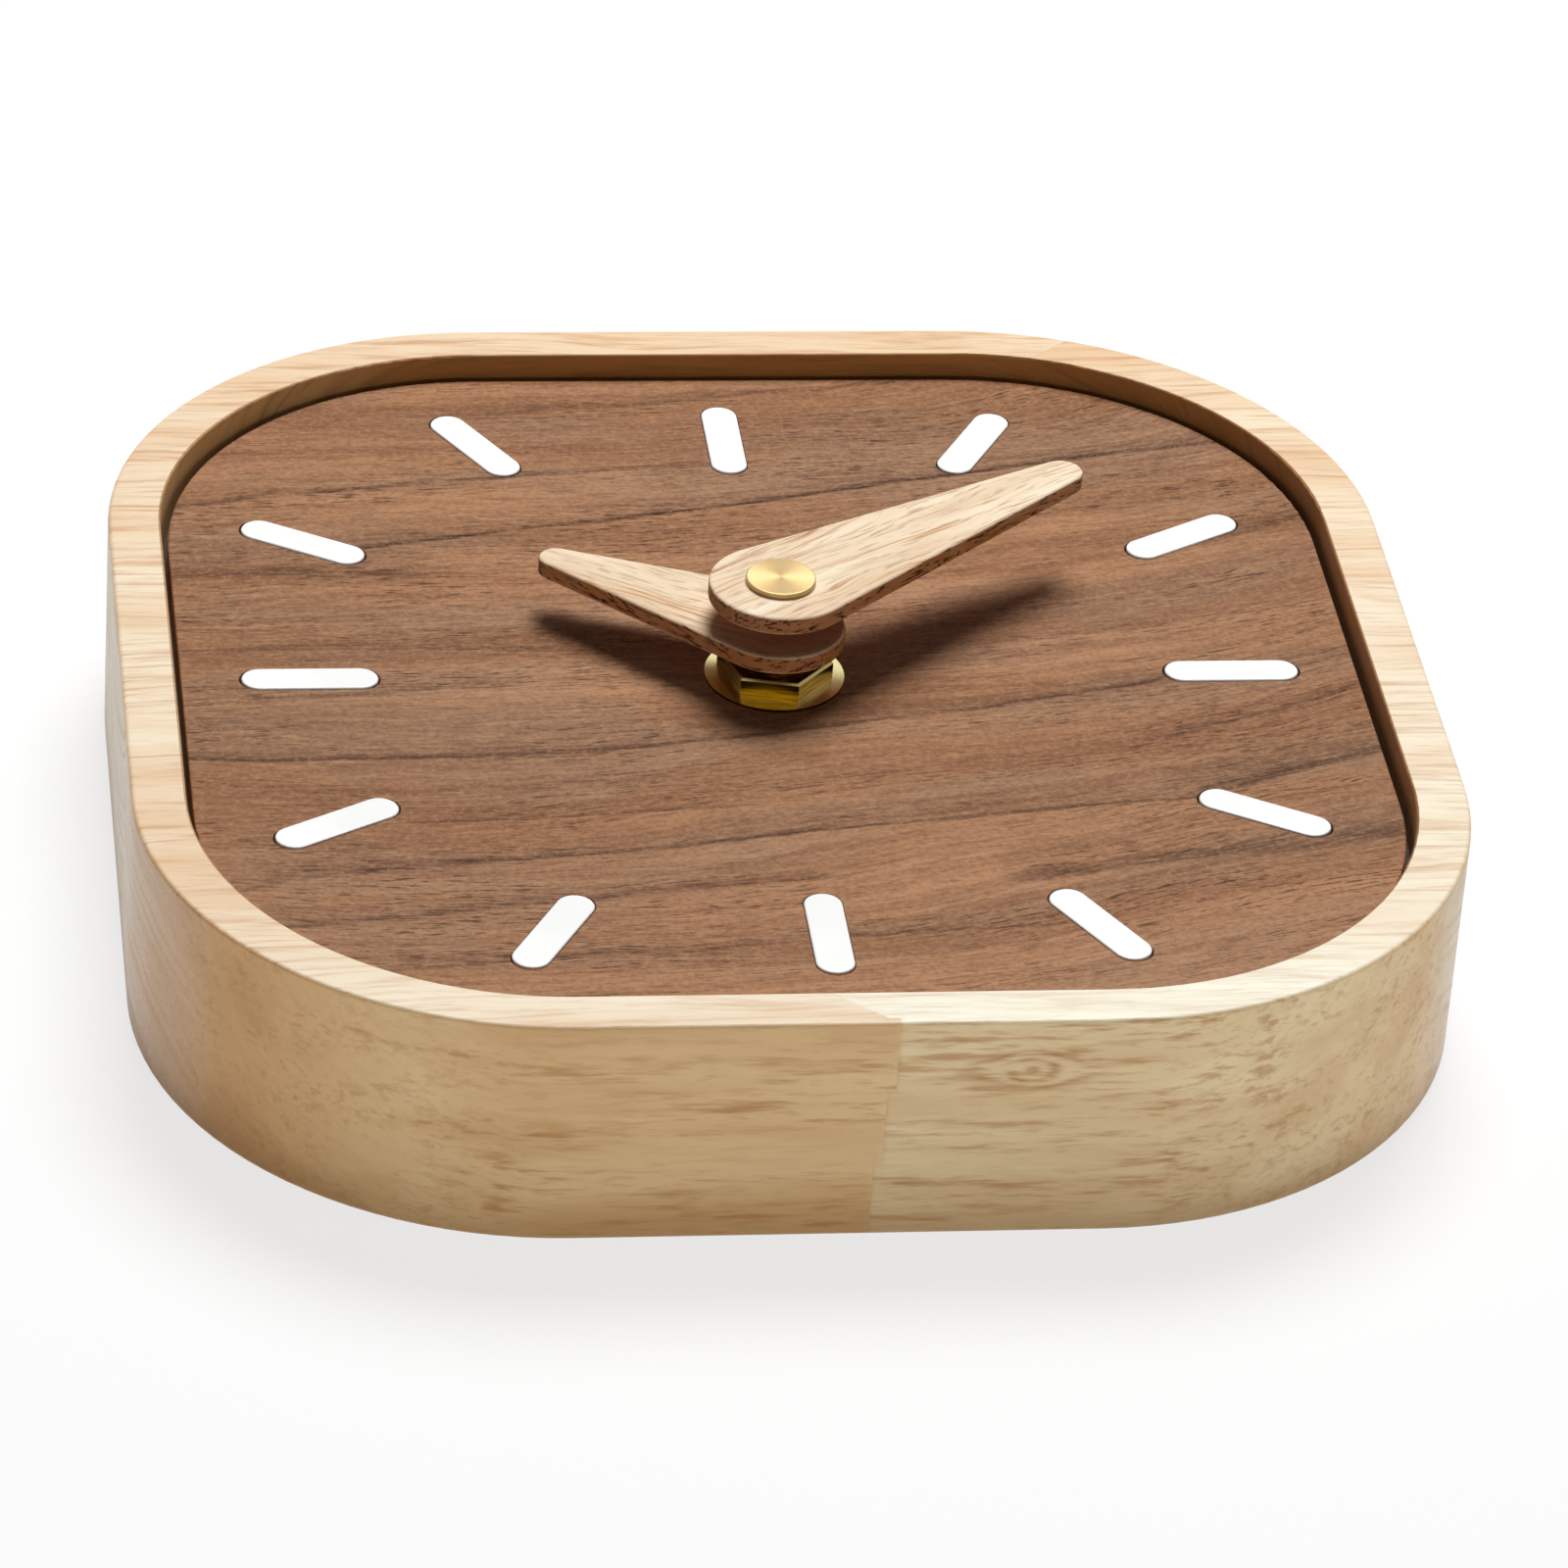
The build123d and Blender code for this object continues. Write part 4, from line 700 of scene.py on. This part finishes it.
def nut_brass():
    """Yellow brass: hexagon flats darkened by painted shade, a top darkened by painted shade and a bright
    turned flange.
    """
    brass = Finish("nut_brass", Metallic=1.0)
    coords = brass.coords()
    x, y, z = brass.axes(coords)
    scratches = brass.noise(coords, (5.0, 5.0, 0.22))
    rings = brass.noise(brass.join(brass.length(x, y), 0.0, 0.0), (0.14, 1, 1), detail=2.0)
    level = brass.rise(brass.size(brass.normal()[2]), 0.4, 0.9)
    # Flats and top darkened as painted shade
    flats = brass.mix(brass.rise(scratches, 0.35, 0.70), *NUT_FLATS_SHADED)
    flange = brass.mix(brass.rise(rings, 0.3, 0.7), *NUT_FLANGE)
    base = brass.mix(level, flats, flange)
    brass.colour(brass.stain(base, NUT_TOP_SHADE, level, brass.above(z, NUT_FLANGE_TOP)))
    brass.roughness(scratches, 0.12, 0.30)
    brass.bump(scratches, depth=0.000008)
    return brass.material


def battery_film():
    """Printed film of a battery: a dark body and a silver band at the positive end."""
    film = Finish("battery_film", Specular_IOR_Level=0.50, Metallic=0.35)
    coords = film.coords()
    x, y, z = film.axes(coords)
    weave = film.noise(coords, (3.0, 0.25, 0.25), detail=2.0)
    scuffs = film.noise(coords, (1.2, 6.0, 6.0), shift=9.0, detail=4.0, roughness=0.7)
    body, band = (film.mix(film.rise(weave, 0.3, 0.7), *tones) for tones in (FILM_BODY, FILM_BAND))
    base = film.mix(film.above(x, BATTERY_BAND_START), body, band)
    film.colour(film.stain(base, FILM_SCUFFS, film.rise(scuffs, 0.62, 0.78), 0.35))
    film.roughness(scuffs, 0.26, 0.44)
    film.bump(weave, depth=0.000006)
    return film.material


def on_circle(middle, radius, angle):
    """Place on a circle, at an angle in degrees."""
    turn = math.radians(angle)
    return Vector((middle[0] + radius * math.cos(turn), middle[1] + radius * math.sin(turn)))


def rounded_rectangle(place, half_size, radius):
    """Outline with round corners, anticlockwise from its right side."""
    outline = []
    for quarter, signs in enumerate(((1, 1), (-1, 1), (-1, -1), (1, -1))):
        corner = [place[axis] + signs[axis] * (half_size[axis] - radius) for axis in range(2)]
        angles = range(90 * quarter, 90 * quarter + 91, CORNER_STEP)
        outline += [on_circle(corner, radius, angle) for angle in angles]
    return outline


def rings_to_faces(rows, sides, closed=False):
    """Quads between rows of points that each go once round."""
    faces = []
    for row in range(rows if closed else rows - 1):
        here, above = row * sides, (row + 1) % rows * sides
        for side in range(sides):
            beside = (side + 1) % sides
            faces.append((here + side, here + beside, above + beside, above + side))
    return faces


def add_piece(name, points, faces, materials, picks=None):
    """A mesh piece from points in millimetres, smooth but for its sharp edges, fixed to the clock's body."""
    mesh = bpy.data.meshes.new(name)
    mesh.from_pydata([Vector(point) / 1000 for point in points], [], faces)
    for material in materials:
        mesh.materials.append(material)
    for index, polygon in enumerate(mesh.polygons):
        polygon.use_smooth = True
        polygon.material_index = picks[index] if picks else 0
    shell = bmesh.new()
    shell.from_mesh(mesh)
    bmesh.ops.recalc_face_normals(shell, faces=shell.faces)
    shell.to_mesh(mesh)
    shell.free()
    mesh.set_sharp_from_angle(angle=math.radians(SHARP_ANGLE))
    piece = bpy.data.objects.new(name, mesh)
    bpy.context.scene.collection.objects.link(piece)
    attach(piece, "clock")
    return piece


def add_battery(film, steel, seal):
    """AA cell along X with rolled film, crimp grooves, seals and steel ends."""
    low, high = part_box("battery")
    middle = (low + high) * 500
    turns = [2 * math.pi * side / BATTERY_SIDES for side in range(BATTERY_SIDES)]
    points = [(place, middle.y + radius * math.cos(turn), middle.z + radius * math.sin(turn))
              for place, radius, finish in BATTERY_ROWS for turn in turns]
    faces = rings_to_faces(len(BATTERY_ROWS), BATTERY_SIDES)
    picks = [finish for place, radius, finish in BATTERY_ROWS[:-1] for turn in turns]
    # The two end discs
    last_row = len(points) - BATTERY_SIDES
    faces += [tuple(range(BATTERY_SIDES)), tuple(range(last_row, len(points)))]
    picks += [STEEL, STEEL]
    cell = add_piece("battery_cell", points, faces, [film, steel, seal], picks)
    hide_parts("battery")


def add_bush(brass):
    """Bush with a real helical thread, its foot below and its bore through it."""
    low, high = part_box("threaded_bush")
    bottom, top = low.z * 1000, high.z * 1000
    shoulder = bottom + BUSH_FOOT_HEIGHT
    foot, tube, bore = BUSH_FOOT_RADIUS, BUSH_RADIUS, BUSH_BORE_RADIUS
    rows = [(bore, bottom), (foot - BUSH_EDGE, bottom), (foot, bottom + BUSH_EDGE),
            (foot, shoulder - BUSH_EDGE), (foot - BUSH_EDGE, shoulder)]
    step = THREAD_PITCH / THREAD_ROWS_PER_TURN
    count = int((top - BUSH_EDGE - shoulder) / step)
    rows += [(tube, shoulder + step * row) for row in range(count + 1)]
    rows += [(tube - THREAD_DEPTH, top), (bore + BUSH_EDGE, top), (bore, top - BUSH_EDGE)]
    points = []
    for radius, height in rows:
        # The thread starts at the shoulder and has its full depth one turn higher
        start = min(1.0, max(0.0, (height - shoulder) / THREAD_PITCH))
        groove = THREAD_DEPTH * start if radius == tube else 0.0
        for side in range(BUSH_SIDES):
            phase = (height / THREAD_PITCH - side / BUSH_SIDES) % 1.0
            reach = radius - groove * abs(2 * phase - 1)
            turn = 2 * math.pi * side / BUSH_SIDES
            points.append((reach * math.cos(turn), reach * math.sin(turn), height))
    faces = rings_to_faces(len(rows), BUSH_SIDES, closed=True)
    bush = add_piece("bush_thread", points, faces, [brass])
    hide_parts("threaded_bush")


def raised_line(path, closed, half_width, base, height, points, faces):
    """Adds a raised line with sloped sides, which stands towards -Z from a base height."""
    start = len(points)
    count = len(path)
    top = base - height
    section = ((half_width, base), (half_width - MARK_CHAMFER, top),
               (MARK_CHAMFER - half_width, top), (-half_width, base))
    for index, place in enumerate(path):
        here = Vector(place)
        ways = []
        if closed or index > 0:
            ways.append((here - Vector(path[index - 1])).normalized())
        if closed or index + 1 < count:
            ways.append((Vector(path[(index + 1) % count]) - here).normalized())
        aside = sum(ways, Vector((0, 0))).normalized().orthogonal()
        aside /= max(MITRE_LIMIT, aside.dot(ways[0].orthogonal()))
        for reach, level in section:
            spot = here + aside * reach
            points.append((spot.x, spot.y, level))
    corners = len(section)
    for index in range(count if closed else count - 1):
        first, second = start + corners * index, start + corners * ((index + 1) % count)
        for edge in range(corners):
            beside = (edge + 1) % corners
            faces.append((first + edge, first + beside, second + beside, second + edge))
    if not closed:
        last = start + corners * (count - 1)
        faces += [tuple(range(start, start + corners)), tuple(range(last, last + corners))]


def add_case_marks(plastic):
    """Moulded signs on the movement's back: turning arrow, polarity, ejector-pin rings and a bare panel."""
    knob_low, knob_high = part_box("setting_knob")
    knob = (knob_low + knob_high) * 500
    arc = [on_circle(knob, KNOB_ARC_RADIUS, angle) for angle in KNOB_ARC_ANGLES]
    lines = [(arc, False, ARROW_LINE)]
    for tip, inner in ((arc[0], arc[3]), (arc[-1], arc[-4])):
        along = (tip - inner).normalized()
        head = tip + along * ARROW_AHEAD
        back, aside = head - along * BARB_BACK, along.orthogonal() * BARB_ASIDE
        lines.append(([back + aside, head, back - aside], False, BARB_LINE))
    lines += [(MINUS_SIGN, False, SIGN_LINE), (PLUS_SIGN, False, SIGN_LINE),
              (PLUS_SIGN_CROSS, False, SIGN_CROSS_LINE)]
    for place in PIN_RING_PLACES:
        ring = [on_circle(place, PIN_RING_RADIUS, angle) for angle in PIN_RING_ANGLES]
        lines.append((ring, True, PIN_RING_LINE))
    panel = rounded_rectangle(PANEL_PLACE, PANEL_HALF_SIZE, PANEL_CORNER_RADIUS)
    lines.append((panel, True, PANEL_LINE))

    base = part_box("movement_rear")[0].z * 1000 + MARK_SINK
    points, faces = [], []
    for path, closed, (half_width, height) in lines:
        raised_line(path, closed, half_width, base, height, points, faces)
    add_piece("case_marks", points, faces, [plastic])


def white_to_eye(shader, plain, white):
    """Mixes a plain surface or sky with a white one that only seen and mirrored rays meet."""
    rays = shader.add("ShaderNodeLightPath", {}).outputs
    seen = rays["Is Camera Ray"]
    for name in ("Is Glossy Ray", "Is Transmission Ray"):
        seen = shader.math("MAXIMUM", seen, rays[name])
    return shader.blend(seen, plain, white)


def floor_white():
    """Pale card that looks white and keeps a faint shadow near the clock. It is clear from below."""
    paint = Finish("floor_white")
    paint.nodes.remove(paint.surface)
    grey = (FLOOR_ALBEDO, FLOOR_ALBEDO, FLOOR_ALBEDO, 1)
    card = paint.add("ShaderNodeBsdfDiffuse", {"Color": grey}).outputs[0]
    shown = paint.add("ShaderNodeBsdfDiffuse", {"Color": WHITE}).outputs[0]
    glow = paint.add("ShaderNodeEmission", {"Strength": 1.0}).outputs[0]
    place = paint.add("ShaderNodeTexCoord", {}).outputs["Object"]
    away = paint.add("ShaderNodeVectorMath", {0: place}, operation="LENGTH").outputs["Value"]
    fade = {"Value": away, "From Min": FLOOR_FADE[0], "From Max": FLOOR_FADE[1],
            "To Min": FLOOR_WHITE_SHARE, "To Max": 1.0}
    share = paint.add("ShaderNodeMapRange", fade, interpolation_type="SMOOTHSTEP").outputs[0]
    upper = white_to_eye(paint, card, paint.blend(share, shown, glow))
    clear = paint.add("ShaderNodeBsdfTransparent", {}).outputs[0]
    from_below = paint.add("ShaderNodeNewGeometry", {}).outputs["Backfacing"]
    paint.feed(paint.nodes["Material Output"].inputs["Surface"], paint.blend(from_below, upper, clear))
    return paint.material


def add_floor():
    """Round floor, open under the clock so that light reaches the back."""
    mesh = bpy.data.meshes.new("floor")
    half_size = (cad_high.x - FLOOR_OPENING_INSET, cad_high.y - FLOOR_OPENING_INSET)
    opening = rounded_rectangle((0.0, 0.0), half_size, FRAME_CORNER_RADIUS - FLOOR_OPENING_INSET)
    outside = [place.normalized() * FLOOR_RADIUS for place in opening]
    corners = [(place.x, place.y, -FLOOR_DROP) for place in (*outside, *opening)]
    mesh.from_pydata(corners, [], rings_to_faces(2, len(opening)))
    mesh.materials.append(floor_white())
    floor = bpy.data.objects.new("floor", mesh)
    bpy.context.scene.collection.objects.link(floor)


def add_light():
    """A soft box above and behind the clock, a low strip in front and a lamp below, in a white room."""
    for name, place, size, watts in LAMPS:
        lamp = bpy.data.lights.new(name, "AREA")
        lamp.shape = "ELLIPSE"
        lamp.size, lamp.size_y = size
        lamp.energy = watts
        light = bpy.data.objects.new(name, lamp)
        light.location = place
        light.rotation_euler = Vector(place).to_track_quat("Z", "Y").to_euler()
        light.visible_camera = False
        bpy.context.scene.collection.objects.link(light)
    world = bpy.data.worlds.new("white_room")
    bpy.context.scene.world = world
    world.use_nodes = True
    sky = Shader(world.node_tree)
    dim = sky.nodes["Background"]
    dim.inputs["Color"].default_value = WHITE
    dim.inputs["Strength"].default_value = WORLD_STRENGTH
    white = sky.add("ShaderNodeBackground", {"Color": WHITE, "Strength": 1.0}).outputs[0]
    sky.feed(sky.nodes["World Output"].inputs["Surface"], white_to_eye(sky, dim.outputs[0], white))


def add_camera():
    """Camera with the photograph's own place, roll and focal length."""
    azimuth, elevation, roll = (math.radians(v) for v in (CAMERA_AZIMUTH, CAMERA_ELEVATION, CAMERA_ROLL))
    back = Vector((math.sin(azimuth) * math.cos(elevation), -math.cos(azimuth) * math.cos(elevation),
                   math.sin(elevation)))
    level = Vector((math.cos(azimuth), math.sin(azimuth), 0.0))
    upright = back.cross(level)
    right = level * math.cos(roll) + upright * math.sin(roll)
    up = upright * math.cos(roll) - level * math.sin(roll)
    data = bpy.data.cameras.new("camera")
    data.sensor_fit = "HORIZONTAL"
    data.sensor_width = SENSOR_WIDTH
    data.lens = CAMERA_FOCAL_PIXELS / IMAGE_PIXELS * SENSOR_WIDTH
    data.clip_start = CAMERA_NEAREST
    camera = bpy.data.objects.new("camera", data)
    turn = Matrix((right, up, back)).transposed().to_4x4()
    camera.matrix_world = Matrix.Translation(Vector(CAMERA_AIM) + back * CAMERA_DISTANCE) @ turn
    bpy.context.scene.collection.objects.link(camera)
    bpy.context.scene.camera = camera


def assign(names, material):
    for name in names:
        slots = nodes[name].data.materials
        slots.clear()
        slots.append(material)


# Materials of the CAD nodes
assign(["wooden_frame"], rubberwood())
assign(["walnut_dial"], walnut())
assign(["hour_hand"], hand_wood("hour_hand_wood", *HOUR_HAND))
assign(["minute_hand"], hand_wood("minute_hand_wood", *MINUTE_HAND))
assign([f"hour_mark_{hour:02d}" for hour in range(1, 13)],
       moulded("white_acrylic", srgb(246, 246, 244), 0.36, grain=0.8, depth=0.000008))
assign(["minute_cap"], turned_brass())
assign(["dial_nut"], nut_brass())
# Brass of the bush and arbor, darkened as painted shade
shaded_bush_brass = metal("shaded_bush_brass", srgb(152, 120, 50), 0.28)
assign(["threaded_bush", "minute_arbor"], shaded_bush_brass)
black_rubber = moulded("black_rubber", srgb(28, 28, 28), 0.75)
assign(["rubber_washer"], black_rubber)
black_plastic = moulded("black_plastic", srgb(33, 33, 35), 0.48)
assign(["movement_front", "movement_rear"], black_plastic)
assign(["setting_knob"], moulded("knob_plastic", srgb(44, 44, 46), 0.40, grain=0.6))
assign(["train_plate", "centre_wheel", "third_wheel", "seconds_wheel", "intermediate_wheel", "motion_wheel",
        "hour_wheel", "rotor_pinion", "coil_bobbin"], moulded("white_plastic", srgb(226, 224, 214), 0.42))
assign(["rotor_magnet"], metal("magnet", srgb(92, 92, 96), 0.45))
steel = metal("steel", srgb(176, 176, 178), 0.34, brushing=(4.0, 0.2, 0.2))
assign(["stator", "coil_core"], steel)
assign(["clutch_washer", "contact_positive", "contact_negative"],
       metal("spring_steel", srgb(204, 202, 194), 0.26, brushing=(0.2, 4.0, 0.2)))
assign(["coil_winding"], metal("copper_wire", srgb(196, 104, 58), 0.34, brushing=(4.0, 0.12, 0.12)))
assign(["circuit_board"], moulded("circuit_board", srgb(34, 84, 52), 0.36))
assign(["clock_chip"], moulded("chip_resin", srgb(22, 22, 22), 0.55))
assign(["quartz_crystal"], metal("crystal_can", srgb(214, 214, 216), 0.22))
battery_jacket = battery_film()
assign(["battery"], battery_jacket)

# Pieces that the CAD nodes show too plainly
add_battery(battery_jacket, steel, black_rubber)
add_bush(shaded_bush_brass)
add_case_marks(black_plastic)

# Stage
add_floor()
add_light()
add_camera()
bpy.context.scene.view_settings.view_transform = "Standard"
